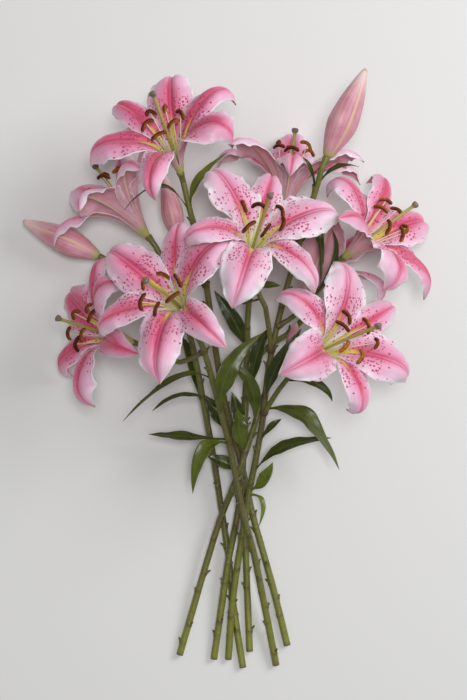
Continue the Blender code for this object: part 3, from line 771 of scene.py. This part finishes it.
petalLook = {
    "centre": (0.66, 0.11, 0.22), "near": (0.77, 0.24, 0.39), "field": (0.83, 0.38, 0.54),
    "pale": (0.88, 0.54, 0.69), "soft": (0.91, 0.69, 0.80), "margin": (0.94, 0.87, 0.91),
    "midrib": (0.50, 0.03, 0.11), "narrowRib": (0.66, 0.07, 0.10), "warm": (0.86, 0.30, 0.20),
    "spot": (0.47, 0.02, 0.11), "tip": (0.50, 0.42, 0.16),
    "throat": (0.90, 0.85, 0.60), "nectary": (0.74, 0.68, 0.10), "green": (0.34, 0.38, 0.07),
    "spotCells": (50.0, 42.0), "spotSize": 0.36, "roughness": 0.46, "subsurface": 0.18,
}


def petalFront(look):
    finish, tree, shader = newMaterial("petal front")
    across, up, blush = valueOf(tree, "across"), valueOf(tree, "along"), valueOf(tree, "blush")
    edge = calc(tree, "ABSOLUTE", across)
    streaks = drawnOut(tree, (150.0, 9.0), 4.0, 0.6)
    clouds = drawnOut(tree, (16.0, 9.0), 3.0)

    # pink in the middle to white at the margin, paler towards the tip and the throat
    shift = swing(tree, streaks, 0.42)
    shift = plus(tree, shift, swing(tree, clouds, 0.30))
    rosy = swing(tree, blush, -0.60)
    shift = plus(tree, shift, rosy)
    shift = plus(tree, shift, window(tree, up, 0.50, 0.9, 0.0, 0.30))
    shift = plus(tree, shift, window(tree, up, 0.04, 0.30, 0.45, 0.0))
    fade = times(tree, calc(tree, "POWER", edge, 1.2), 0.78)
    tone = plus(tree, fade, shift, True)
    color = ramp(tree, tone, (
        (0.0, look["centre"]), (0.14, look["near"]), (0.34, look["field"]), (0.58, look["pale"]),
        (0.80, look["soft"]), (1.0, look["margin"]),
    ))
    rim = window(tree, plus(tree, edge, times(tree, clouds, 0.05)), 0.95, 1.01)
    color = blend(tree, rim, color, look["margin"])

    # the midrib: a deep rose stripe with a paler line on each side of it; its dark lines lie in the grooves
    # of the crease, one on a narrow petal and two on a broad one, partly the rib's own deep rose and partly
    # painted shade in the grooves
    ribbed = times(tree, window(tree, up, 0.16, 0.36), fading(tree, up, 0.78, 0.97))
    single = fading(tree, edge, 0.02, 0.085)
    double = fading(tree, calc(tree, "ABSOLUTE", minus(tree, edge, 0.075)), 0.015, 0.050)
    broad = valueOf(tree, "broad")
    stripe = plus(tree, times(tree, double, broad), times(tree, single, minus(tree, 1.0, broad)))
    stripe = times(tree, stripe, ribbed)
    reached = window(tree, up, 0.26, 0.60, 0.52, 0.17)
    flank = times(tree, fading(tree, edge, 0.04, reached), ribbed)
    flank = times(tree, flank, window(tree, up, 0.36, 0.66, 0.80, 0.14))
    color = blend(tree, flank, color, look["centre"])
    ribColor = blend(tree, broad, look["narrowRib"], look["midrib"])
    # painted shade in part: the dark rib lines darken the crease grooves, over the rib's own deep rose
    color = blend(tree, times(tree, stripe, window(tree, up, 0.4, 0.8, 0.75, 0.45)), color, ribColor)

    # the throat: cream, with a yellow-green groove up the middle and orange beside its end
    throat = fading(tree, plus(tree, up, times(tree, edge, 0.10)), 0.06, 0.26)
    color = blend(tree, throat, color, look["throat"])
    warm = times(tree, fading(tree, edge, 0.06, 0.22), window(tree, up, 0.20, 0.30))
    warm = times(tree, warm, fading(tree, up, 0.32, 0.48))
    color = blend(tree, times(tree, warm, 0.5), color, look["warm"])
    narrowing = window(tree, up, 0.0, 0.38, 0.42, 0.07)
    groove = fading(tree, calc(tree, "DIVIDE", edge, narrowing), 0.6, 1.3)
    groove = times(tree, groove, window(tree, up, 0.27, 0.40, 0.95, 0.0))
    color = blend(tree, groove, color, look["nectary"])
    color = blend(tree, window(tree, up, -0.7, -0.1, 0.8, 0.0), color, look["green"])

    # crimson spots on the lower half, each its own size, thinning out upwards and outwards
    cells = tree.nodes.new("ShaderNodeTexVoronoi")
    tree.links.new(flatPlace(tree, look["spotCells"]), cells.inputs["Vector"])
    cells.inputs["Scale"].default_value = 1.0
    pick = tree.nodes.new("ShaderNodeSeparateColor")
    tree.links.new(cells.outputs["Color"], pick.inputs[0])
    thick = times(tree, window(tree, up, 0.07, 0.14), fading(tree, up, 0.46, 0.66))
    thick = times(tree, thick, fading(tree, edge, 0.84, 1.0))
    thick = times(tree, thick, window(tree, edge, 0.03, 0.12))
    kept = calc(tree, "LESS_THAN", pick.outputs[0], thick)
    size = times(tree, plus(tree, times(tree, pick.outputs[1], 0.6), 0.7),
                look["spotSize"])
    spot = fading(tree, calc(tree, "DIVIDE", cells.outputs["Distance"], size), 0.75, 1.05)
    spot = times(tree, spot, kept)
    color = blend(tree, times(tree, spot, 0.92), color, look["spot"])
    color = blend(tree, window(tree, up, 0.955, 1.0, 0.0, 0.8), color, look["tip"])

    surfaced(tree, shader, color, look["roughness"], 0.35)
    fleshy(shader, look["subsurface"])
    height = plus(tree, times(tree, streaks, 0.6), spot)
    bumped(tree, shader, height, 0.35, 0.0005)
    shader.inputs["Sheen Weight"].default_value = 0.15
    return finish


backLook = {
    "deep": (0.60, 0.26, 0.32), "middle": (0.78, 0.46, 0.53), "light": (0.88, 0.66, 0.72),
    "rib": (0.76, 0.60, 0.42), "foot": (0.48, 0.46, 0.15), "margin": (0.88, 0.72, 0.76),
    "roughness": 0.5, "subsurface": 0.18,
}


def petalBack(look):
    finish, tree, shader = newMaterial("petal back")
    edge = calc(tree, "ABSOLUTE", valueOf(tree, "across"))
    up = valueOf(tree, "along")
    streaks = drawnOut(tree, (170.0, 7.0), 4.0, 0.6)
    clouds = drawnOut(tree, (14.0, 9.0), 3.0)
    tone = plus(tree, times(tree, streaks, 0.9), times(tree, clouds, 0.7))
    tone = plus(tree, minus(tree, tone, 0.62), times(tree, edge, 0.25), True)
    color = ramp(tree, tone, ((0.0, look["deep"]), (0.5, look["middle"]), (1.0, look["light"])))
    color = blend(tree, window(tree, edge, 0.08, 0.28, 0.55, 0.0), color, look["deep"])
    rib = fading(tree, edge, 0.03, 0.10)
    rib = times(tree, rib, window(tree, up, 0.65, 1.0, 1.0, 0.25))
    color = blend(tree, times(tree, rib, 0.8), color, look["rib"])
    color = blend(tree, window(tree, edge, 0.86, 1.0, 0.0, 0.6), color, look["margin"])
    color = blend(tree, fading(tree, up, -0.6, 0.16), color, look["foot"])
    surfaced(tree, shader, color, look["roughness"], 0.35)
    fleshy(shader, look["subsurface"])
    raised = plus(tree, times(tree, streaks, 0.6), rib)
    bumped(tree, shader, raised, 0.35, 0.0006)
    return finish


stamenShape = {
    "pistilLength": 0.102, "antherHeight": 0.070, "spread": 0.0210, "halfOpen": 30.0,
    "ovaryRadius": 0.0024, "ovaryHeight": 0.014, "styleRadius": 0.0015, "stigmaRadius": 0.0036,
    "filamentFoot": 0.0011, "filamentTip": 0.0005, "antherLength": 0.0185, "antherRadius": 0.0020,
    "antherBend": 0.0048, "lean": 34.0, "closedSpread": 0.6, "clockSwing": 7.0, "tilt": 18.0,
    "bluntEnd": 0.16, "knobLow": 0.0075, "knobHigh": 0.0030, "knobTop": 0.0010, "neck": 0.004,
    "path": ((0.06, 0.02), (0.17, 0.14), (0.28, 0.30), (0.64, 0.68), (1.0, 1.0)),
}
stamenLook = {
    "filament": (0.74, 0.71, 0.34), "filamentTip": (0.82, 0.78, 0.56),
    "dark": (0.070, 0.018, 0.008), "rust": (0.21, 0.060, 0.012), "orange": (0.56, 0.22, 0.02),
    "style": (0.42, 0.40, 0.08), "styleFoot": (0.30, 0.36, 0.09), "stigma": (0.17, 0.10, 0.12),
}


def aimed(axis, aim, height):
    # a point up a style that leaves along the axis and ends along its aim
    share = smooth(height / stamenShape["pistilLength"])
    return (axis * (1.0 - share) + aim * share) * height


def filamentRadius(turn, distance, length):
    s = stamenShape
    return s["filamentFoot"] + (s["filamentTip"] - s["filamentFoot"]) * (distance / length) ** 0.7


def antherRadius(turn, distance, length):
    # blunt ends, lobes along it, and a grainy skin
    s = stamenShape
    end = min(distance, length - distance) / length
    blunt = 0.12 + 0.88 * math.sin(math.pi / 2.0 * min(1.0, end / s["bluntEnd"])) ** 0.6
    lobes = 1.0 + 0.16 * math.cos(2.0 * turn) - 0.10 * math.cos(4.0 * turn)
    way = Vector((distance * 900.0, math.cos(turn) * 2.0, math.sin(turn) * 2.0))
    return s["antherRadius"] * blunt * lobes * (1.0 + 0.05 * noise.noise(way))


def pistilRadius(turn, distance, length):
    # a six-sided ovary, a style that thickens upwards, and a three-lobed stigma
    s = stamenShape
    if distance < s["ovaryHeight"]:
        return s["ovaryRadius"] * (1.0 + 0.10 * math.cos(6.0 * turn))
    slim = s["styleRadius"] * (0.85 + 0.45 * distance / length)
    neck = 1.0 - between(s["ovaryHeight"], s["ovaryHeight"] + s["neck"], distance)
    knob = between(length - s["knobLow"], length - s["knobHigh"], distance)
    knob *= 1.0 - 0.75 * between(length - s["knobTop"], length, distance)
    lobes = 1.0 + 0.20 * math.cos(3.0 * turn)
    return slim + (s["ovaryRadius"] - slim) * neck + (s["stigmaRadius"] * lobes - slim) * knob


def shareAlong(turn, distance, length):
    return (distance / length,)


def antherArc(draw, tip, out, axis, up, aim):
    # an anther is hung by its middle across the tip of its filament, and bends back at both ends
    s = stamenShape
    tipWay = (out * 0.35 + aim * 0.94).normalized()
    lean = math.radians(draw.uniform(-s["lean"], s["lean"]))
    across = up * 0.7 + axis.cross(out) * 0.5
    across = (across - tipWay * across.dot(tipWay)).normalized()
    across = turned(across, tipWay.cross(across), lean).normalized()
    tilt = math.radians(draw.uniform(-s["tilt"], s["tilt"]))
    across = turned(across, tipWay, tilt).normalized()
    over = (tipWay - across * tipWay.dot(across)).normalized()
    half = s["antherLength"] / 2.0 * draw.uniform(0.92, 1.08)
    bend = s["antherBend"] * draw.uniform(0.7, 1.3)
    top = tip + over * (s["antherRadius"] * 0.8)
    return [top + across * (half * k / 4.0) - over * (bend * (k / 4.0) ** 2) for k in range(-4, 5)]


def makeStamens(flowerName, threadSkin, pollenSkin, pistilSkin):
    s = stamenShape
    flower = flowers[flowerName]
    base = placed(flower["place"])
    axis, up, right = facingAxes(flower)
    aim = Vector(flower["aim"]).normalized()
    spread = s["spread"] * (1.0 if flower["petals"][0][1] > s["halfOpen"] else s["closedSpread"])
    draw = random.Random("stamens " + flowerName)
    node = "stamens_" + flowerName

    threads, anthers, pistil = bmesh.new(), bmesh.new(), bmesh.new()
    for i in range(6):
        turn = math.radians(60.0 * i + draw.uniform(-s["clockSwing"], s["clockSwing"]))
        out = turned(up, right, turn)
        high = s["antherHeight"] * draw.uniform(0.93, 1.06) * flower.get("stamens", 1.0)
        wide = spread * draw.uniform(0.85, 1.15)
        points = [base + out * (wide * w) + aimed(axis, aim, high * h) for w, h in s["path"]]
        addTube(threads, through(points, 5), 0.003, 8, filamentRadius, ("along",), shareAlong)
        arc = antherArc(draw, points[-1], out, axis, up, aim)
        # each anther's own share of orange; the cosine term in its tone is a painted highlight, one side of
        # every anther painted lighter and more orange and the other side darker
        orangeShare = draw.uniform(0.0, 0.8)
        addTube(
            anthers, through(arc, 3), 0.0010, 14, antherRadius, ("tone",),
            lambda a, d, length: (orangeShare + 0.6 * math.cos(a - 0.8),),
        )
    line = [base + aimed(axis, aim, s["pistilLength"] * (i / 12.0)) for i in range(13)]
    addTube(pistil, line, 0.0013, 18, pistilRadius, ("along",), shareAlong)
    finishPiece("filaments_" + flowerName, threads, [threadSkin], node)
    finishPiece("anthers_" + flowerName, anthers, [pollenSkin], node)
    finishPiece("pistil_" + flowerName, pistil, [pistilSkin], node)


def filamentFinish(look):
    finish, tree, shader = newMaterial("filament")
    color = blend(tree, window(tree, valueOf(tree, "along"), 0.1, 0.9), look["filament"], look["filamentTip"])
    fibre = speckled(tree, 500.0, 2.0)
    color = blend(tree, times(tree, fibre, 0.3), color, look["filament"])
    surfaced(tree, shader, color, 0.4)
    fleshy(shader, 0.1, (1.0, 0.2, 0.1), 0.002)
    return finish


def antherFinish(look):
    finish, tree, shader = newMaterial("pollen")
    dust = speckled(tree, 1400.0, 3.0, 0.6)
    patches = speckled(tree, 260.0, 2.0)
    tone = plus(tree, times(tree, patches, 0.9), times(tree, dust, 0.5))
    # the "tone" value is each anther's own orange share plus a painted highlight down one side of it
    tone = plus(tree, minus(tree, tone, 0.58), times(tree, valueOf(tree, "tone"), 0.45), True)
    color = ramp(tree, tone, ((0.0, look["dark"]), (0.45, look["rust"]), (1.0, look["orange"])))
    surfaced(tree, shader, color, 0.9, 0.2)
    bumped(tree, shader, dust, 0.7, 0.0004)
    return finish


def pistilFinish(look):
    finish, tree, shader = newMaterial("pistil")
    up = valueOf(tree, "along")
    color = blend(tree, window(tree, up, 0.05, 0.5), look["styleFoot"], look["style"])
    color = blend(tree, window(tree, up, 0.925, 0.96), color, look["stigma"])
    fine = speckled(tree, 700.0, 3.0)
    color = blend(tree, times(tree, fine, 0.35), color, look["styleFoot"])
    surfaced(tree, shader, color, 0.38)
    bumped(tree, shader, fine, 0.3, 0.0003)
    return finish


budShape = {
    "columns": 48, "rows": 56, "seamDepth": 0.055, "seamWidth": 0.16, "lobe": 0.045, "spin": 16.0,
    "ridge": 0.018, "ridgeWidth": 0.22, "bow": 0.0012, "foot": 0.32, "swell": 0.68, "swollen": 0.40,
    "swellPower": 0.62, "slimFrom": 0.36, "slim": 0.88, "slimPower": 1.7, "endShare": 0.02,
    "flat": (0.3, 8.0),
}
budLook = {
    "deep": (0.42, 0.13, 0.18), "middle": (0.64, 0.29, 0.36), "light": (0.84, 0.56, 0.60),
    "seam": (0.74, 0.56, 0.26), "tip": (0.86, 0.72, 0.68), "end": (0.56, 0.38, 0.12),
    "foot": (0.38, 0.42, 0.12), "roughness": 0.42,
}


def budRadius(t, lobe, near):
    # near is 1 on a seam between two petals and 0 on the ridge of one
    b = budShape
    radius = b["foot"] + b["swell"] * smooth(t / b["swollen"]) ** b["swellPower"]
    slimmed = max(0.0, (t - b["slimFrom"]) / (1.0 - b["slimFrom"])) ** b["slimPower"]
    radius *= 1.0 - b["slim"] * slimmed
    seam = (1.0 - between(0.0, b["seamWidth"], 1.0 - near)) * between(0.04, 0.2, t)
    radius *= 1.0 + b["lobe"] * math.cos(lobe * 3.0 + math.pi) - b["seamDepth"] * seam
    ridge = 1.0 - between(0.0, b["ridgeWidth"], near)
    radius *= 1.0 + b["ridge"] * ridge * between(0.1, 0.3, t)
    if t > 1.0 - b["endShare"]:
        radius *= math.sqrt(max(0.0, (1.0 - t) / b["endShare"]))
    if t < b["endShare"]:
        radius *= 0.55 + 0.45 * t / b["endShare"]
    return radius


def makeBud(name, finish):
    b = budShape
    bud = buds[name]
    base = placed(bud["place"])
    axis = Vector(bud["facing"]).normalized()
    first = axis.cross(Vector((0, 0, 1))).normalized()
    second = axis.cross(first)
    draw = random.Random("bud " + name)
    start = draw.uniform(0.0, 6.28)
    bow = draw.uniform(-b["bow"], b["bow"])
    length = bud["length"]
    count = b["rows"]

    def shape(across, upwards):
        t = round(upwards * count) / count
        turn = math.pi * (across + 1.0)
        lobe = turn + start + math.radians(b["spin"]) * t
        near = abs((lobe / (2.0 * math.pi) * 3.0) % 1.0 - 0.5) * 2.0
        place = base + axis * (length * t)
        place += turned(first, second, turn) * (bud["radius"] * budRadius(t, lobe, near))
        place += second * (bow * math.sin(math.pi * t))
        return place, (turn * b["flat"][0], t * length * b["flat"][1]), (near, t)

    bm = bmesh.new()
    addSheet(bm, b["columns"], count, shape, ("seam", "along"), True)
    return finishPiece("bud_" + name + "_petals", bm, [finish], "bud_" + name)


def budFinish(look):
    finish, tree, shader = newMaterial("bud")
    seam, up = valueOf(tree, "seam"), valueOf(tree, "along")
    streaks = drawnOut(tree, (26.0, 3.0), 4.0, 0.6)
    clouds = speckled(tree, 60.0, 3.0)
    tone = plus(tree, times(tree, streaks, 1.1), times(tree, clouds, 0.7))
    tone = minus(tree, tone, 0.45, True)
    color = ramp(tree, tone, ((0.0, look["deep"]), (0.5, look["middle"]), (1.0, look["light"])))
    color = blend(tree, window(tree, seam, 0.84, 0.99, 0.0, 0.8), color, look["seam"])
    color = blend(tree, window(tree, seam, 0.0, 0.10, 0.55, 0.0), color, look["seam"])
    color = blend(tree, window(tree, up, 0.62, 0.98, 0.0, 0.7), color, look["tip"])
    color = blend(tree, window(tree, up, 0.95, 0.99, 0.0, 0.85), color, look["end"])
    color = blend(tree, fading(tree, up, -0.02, 0.14), color, look["foot"])
    surfaced(tree, shader, color, look["roughness"])
    fleshy(shader, 0.15)
    bumped(tree, shader, streaks, 0.35, 0.0006)
    return finish


leafShape = {
    "stalkHalfWidth": 0.0016, "columns": 12, "rows": 36, "fold": 0.34, "wave": 0.20, "twist": 22.0,
    "thickness": 0.00045, "stemReach": 0.0026, "fullest": 0.45, "taper": 1.8, "foldPower": 1.3,
    "foldEase": 0.55, "sway": 0.10, "waves": 6.0, "plainTone": 0.2, "toneSpread": 0.1,
}
# how light a leaf is painted, where that isn't the plain tone: partly painted light, a leaf turned to the
# light painted lighter as a whole, and partly the leaf's own tone
leafToneAndLight = {
    "left_bright": 0.65, "right_bright": 0.75, "right_low": 0.8, "right_long": 0.45, "top_right": 0.5,
    "right_level": 0.4, "left_long": 0.35, "heart": 0.5, "inner_right": 0.5, "inner_top": 0.5,
}
leafLook = {
    "dark": (0.024, 0.036, 0.006), "green": (0.062, 0.086, 0.010), "light": (0.18, 0.23, 0.016),
    "back": (0.12, 0.16, 0.05), "vein": (0.14, 0.18, 0.045), "tip": (0.16, 0.10, 0.04), "roughness": 0.27,
}


def makeLeaf(name, finishes):
    f = leafShape
    stem, share, arch, tip, face, widest = leaves[name]
    if isinstance(stem, str):
        run = stemRun(stem)
    else:
        run = sideRun(stem[0], stems[stem[0]]["sides"][stem[1]])
    start, runWay = along(run, share)
    arch, tip = placed(arch), placed(tip)
    out = arch - start
    out = (out - runWay * out.dot(runWay)).normalized()
    root = start + out * f["stemReach"]
    face = Vector(face).normalized()
    draw = random.Random("leaf " + name)
    seed = draw.uniform(0.0, 40.0)
    twist = math.radians(draw.uniform(-f["twist"], f["twist"]))
    # painted light: leaves turned to the light are painted lighter all over, with a random spread of the
    # leaf's own tone on top
    bright = leafToneAndLight.get(name, f["plainTone"]) + draw.uniform(-f["toneSpread"], f["toneSpread"])
    length = (arch - root).length + (tip - arch).length
    rows = f["rows"]

    def shape(across, upwards):
        t = round(upwards * rows) / rows
        middle = root * (1 - t) ** 2 + arch * (2 * t * (1 - t)) + tip * t * t
        way = ((arch - root) * (1 - t) + (tip - arch) * t).normalized()
        side = way.cross(face).normalized()
        fold = side.cross(way)
        turn = twist * between(0.2, 1.0, t)
        side, fold = turned(side, fold, turn), turned(fold, -side, turn)
        full = smooth(t / f["fullest"])
        if t >= f["fullest"]:
            full = 1.0 - ((t - f["fullest"]) / (1.0 - f["fullest"])) ** f["taper"]
        half = max(f["stalkHalfWidth"] * (1.0 - t), widest * full)
        sign = -1.0 if across < 0.0 else 1.0
        wave = noise.noise(Vector((t * f["waves"] + seed, sign * 3.0, seed)))
        lift = f["fold"] * abs(across) ** f["foldPower"] * (1.0 - f["foldEase"] * t)
        lift += f["wave"] * wave * 2.0 * across * across
        sway = side * (f["sway"] * widest * math.sin(2.0 * math.pi * t + seed) * t)
        flat = (0.5 + half * across / sheetFlat, t * length / sheetFlat)
        return middle + side * (half * across) + fold * (half * lift) + sway, flat, (across, t, bright)

    bm = bmesh.new()
    addSheet(bm, f["columns"], rows, shape, ("across", "along", "bright"), False)
    return finishPiece("leaf_" + name + "_blade", bm, finishes, "leaf_" + name, f["thickness"], 0.0)


def leafFinish(look, name, under):
    finish, tree, shader = newMaterial(name)
    across, up, bright = valueOf(tree, "across"), valueOf(tree, "along"), valueOf(tree, "bright")
    edge = calc(tree, "ABSOLUTE", across)
    veins = drawnOut(tree, (230.0, 3.0), 2.0)
    clouds = drawnOut(tree, (20.0, 10.0), 3.0)
    # the "bright" value lifts the whole leaf towards the light green: painted light on the leaves turned to
    # the light, and the leaf's own tone
    tone = plus(tree, swing(tree, clouds, 0.5), bright)
    tone = plus(tree, tone, swing(tree, veins, 0.5), True)
    color = ramp(tree, tone, ((0.0, look["dark"]), (0.4, look["green"]), (1.0, look["light"])))
    if under:
        color = blend(tree, 0.45, color, look["back"])
    color = blend(tree, window(tree, edge, 0.03, 0.10, 0.5, 0.0), color, look["vein"])
    color = blend(tree, window(tree, edge, 0.90, 1.0, 0.0, 0.4), color, look["vein"])
    color = blend(tree, window(tree, up, 0.90, 1.0, 0.0, 0.7), color, look["tip"])
    surfaced(tree, shader, color, look["roughness"] + (0.15 if under else 0.0), 0.52)
    bumped(tree, shader, veins, 0.4, 0.0005)
    return finish


stemShape = {
    "radius": 0.0040, "topRadius": 0.0033, "sideRadius": 0.0029, "sides": 20, "step": 0.0018,
    "nodeGap": 0.021, "scarSwell": 0.0012, "headSwell": 1.35, "headReach": 0.009, "forkSwell": 0.6,
    "scarReach": 0.0022, "scarTint": 0.0018, "scarShift": 0.0006, "uneven": 0.05, "scarTurn": 2.4,
    "stubLength": 0.0062, "stubFoot": 0.0021, "stubTip": 0.0008,
}
stemLook = {
    "low": (0.215, 0.240, 0.030), "middle": (0.100, 0.095, 0.024), "top": (0.170, 0.190, 0.036),
    "bloom": (0.40, 0.42, 0.14), "scar": (0.075, 0.040, 0.020), "cut": (0.16, 0.12, 0.06),
    "flush": (0.12, 0.055, 0.030), "roughness": 0.42,
}


def makeStalk(pieceName, node, run, radius, topRadius, finish, scars, low):
    # a round stalk; with scars, leaf scars swell one side of it here and there, each with the stub
    # of its leaf; low is 1 for a stalk with a cut end and 0 for one that forks off another
    s = stemShape
    length = sum((b - a).length for a, b in zip(run, run[1:]))
    draw = random.Random(pieceName)
    rings = []
    if scars:
        place = draw.uniform(0.012, 0.030)
        turn = draw.uniform(0.0, 6.28)
        while place < length * 0.93:
            rings.append((place, turn))
            place += s["nodeGap"] * draw.uniform(0.75, 1.25)
            turn += s["scarTurn"] + draw.uniform(-0.3, 0.3)
    seed = draw.uniform(0.0, 30.0)

    def radiusAt(turn, distance, whole):
        t = distance / whole
        here = radius + (topRadius - radius) * t
        way = Vector((distance * 45.0 + seed, math.cos(turn), math.sin(turn)))
        here *= 1.0 + s["uneven"] * noise.noise(way)
        for place, way in rings:
            near = bell(distance - place, s["scarReach"])
            if near > 0.01:
                facing = max(0.0, math.cos(turn - way))
                here += near * s["scarSwell"] * facing ** 3
        here *= 1.0 + (s["headSwell"] - 1.0) * between(whole - s["headReach"], whole, distance)
        if low == 0.0:
            here *= 1.0 + s["forkSwell"] * (1.0 - between(0.002, 0.011, distance))
        return here

    def valuesAt(turn, distance, whole):
        scar = 0.0 if low else 0.9 * (1.0 - between(0.003, 0.012, distance))
        for place, way in rings:
            near = bell(distance - place - s["scarShift"], s["scarTint"])
            scar = max(scar, near * (0.2 + 0.8 * max(0.0, math.cos(turn - way))))
        return scar, (distance / whole) if low else 0.75, distance if low else 1.0

    bm = bmesh.new()
    addTube(bm, run, s["step"], s["sides"], radiusAt, ("scar", "along", "cut"), valuesAt)

    # the stubs that the stripped leaves left, each pointing out and up from its scar
    frames = tubeFrames(resampled(run, s["step"])[0])
    for place, way in rings:
        index = min(round(place / length * (len(frames) - 1)), len(frames) - 2)
        centre, first, second = frames[index]
        upwards = (frames[index + 1][0] - centre).normalized()
        outwards = turned(first, second, way)
        long = s["stubLength"] * draw.uniform(0.35, 1.15)
        foot = centre + outwards * (radius * 0.55)
        stub = [foot, foot + outwards * (radius * 0.45) + upwards * (long * 0.4),
                foot + outwards * (radius * 0.45 + long * 0.55) + upwards * long]
        if min(p.z for p in stub) < s["stubFoot"]:      # it would stand in the floor
            continue
        addTube(
            bm, through(stub, 3), 0.0008, 8,
            lambda a, d, l: s["stubFoot"] + (s["stubTip"] - s["stubFoot"]) * d / l,
            ("scar", "along", "cut"), lambda a, d, l: (0.15 + 0.85 * d / l, 0.0, 1.0),
        )
    return finishPiece(pieceName, bm, [finish], node)


def stemFinish(look):
    finish, tree, shader = newMaterial("stem")
    scar, up, cut = valueOf(tree, "scar"), valueOf(tree, "along"), valueOf(tree, "cut")
    fibres = drawnOut(tree, (240.0, 6.0), 3.0, 0.6)
    patches = speckled(tree, 38.0, 4.0, 0.6)
    color = ramp(tree, up, ((0.0, look["low"]), (0.45, look["middle"]), (0.95, look["top"])))
    flushed = times(tree, window(tree, patches, 0.48, 0.72), window(tree, up, 0.1, 0.45, 0.35, 0.65))
    color = blend(tree, flushed, color, look["flush"])
    color = blend(tree, times(tree, fibres, window(tree, up, 0.1, 0.45, 0.12, 0.35)), color, look["middle"])
    specks = window(tree, speckled(tree, 620.0, 2.0), 0.60, 0.72, 0.0, 0.55)
    color = blend(tree, specks, color, look["bloom"])
    color = blend(tree, times(tree, scar, 0.85), color, look["scar"])
    color = blend(tree, window(tree, cut, 0.0, 0.006, 0.85, 0.0), color, look["cut"])
    surfaced(tree, shader, color, look["roughness"])
    height = plus(tree, fibres, times(tree, patches, 0.6))
    bumped(tree, shader, height, 0.35, 0.0006)
    return finish


studio = {
    "floor": (0.80, 0.80, 0.795), "floorHalf": 6.0, "world": (1.0, 0.99, 0.98), "worldStrength": 0.21,
    "key": ((1.45, 0.85, 1.45), 1.1, 22.0), "fill": ((0.22, 0.26, 4.5), 1.1, 82.0),
    "lit": (0.0, 0.05, 0.1), "lens": 90.0, "sensor": 36.0, "cameraPlace": (0.009, 0.0304, 2.055),
}


def makeStudio():
    bm = bmesh.new()
    bmesh.ops.create_grid(bm, x_segments=4, y_segments=4, size=studio["floorHalf"])
    mesh = newMesh("floor", bm)
    floor = newObject("floor", mesh)
    finish, tree, shader = newMaterial("floor paper")
    base = studio["floor"]
    paper = times(tree, speckled(tree, 3.0, 2.0), 0.06)
    surfaced(tree, shader, blend(tree, paper, base, tuple(c * 0.8 for c in base)), 0.9)
    mesh.materials.append(finish)

    for name in ("key", "fill"):
        place, size, power = studio[name]
        lamp = bpy.data.lights.new(name, "AREA")
        lamp.shape = "DISK"
        lamp.size = size
        lamp.energy = power
        light = newObject(name, lamp)
        light.location = place
        light.rotation_euler = (Vector(studio["lit"]) - Vector(place)).to_track_quat("-Z", "Y").to_euler()

    world = bpy.data.worlds.new("studio")
    bpy.context.scene.world = world
    world.use_nodes = True
    back = world.node_tree.nodes["Background"]
    back.inputs["Color"].default_value = (*studio["world"], 1.0)
    back.inputs["Strength"].default_value = studio["worldStrength"]
    bpy.context.scene.view_settings.view_transform = "Standard"

    lens = bpy.data.cameras.new("camera")
    lens.lens = studio["lens"]
    lens.sensor_width = studio["sensor"]
    camera = newObject("camera", lens)
    camera.location = studio["cameraPlace"]
    bpy.context.scene.camera = camera


makeStudio()
print("studio ready")

stemSkin = stemFinish(stemLook)
for stemName, stem in stems.items():
    makeStalk(
        "stem_" + stemName + "_main", "stem_" + stemName, stemRun(stemName), stemShape["radius"],
        stemShape["topRadius"], stemSkin, True, 1.0,
    )
    for sideNumber, side in enumerate(stem["sides"]):
        makeStalk(
            f"stem_{stemName}_side_{sideNumber + 1}", "stem_" + stemName, sideRun(stemName, side),
            stemShape["sideRadius"], stemShape["sideRadius"], stemSkin, False, 0.0,
        )
print("stems:", len(stems))

leafSkins = [leafFinish(leafLook, "leaf top", False), leafFinish(leafLook, "leaf underside", True)]
for leafName in leaves:
    makeLeaf(leafName, leafSkins)
print("leaves:", len(leaves))

budSkin = budFinish(budLook)
for budName in buds:
    makeBud(budName, budSkin)
print("buds:", len(buds))

petalSkins = [petalFront(petalLook), petalBack(backLook)]
stamenSkins = [made(stamenLook) for made in (filamentFinish, antherFinish, pistilFinish)]
for flowerName in flowers:
    for petalNumber in range(6):
        makePetal(flowerName, petalNumber, petalSkins)
    makeStamens(flowerName, *stamenSkins)
print("flowers:", len(flowers))
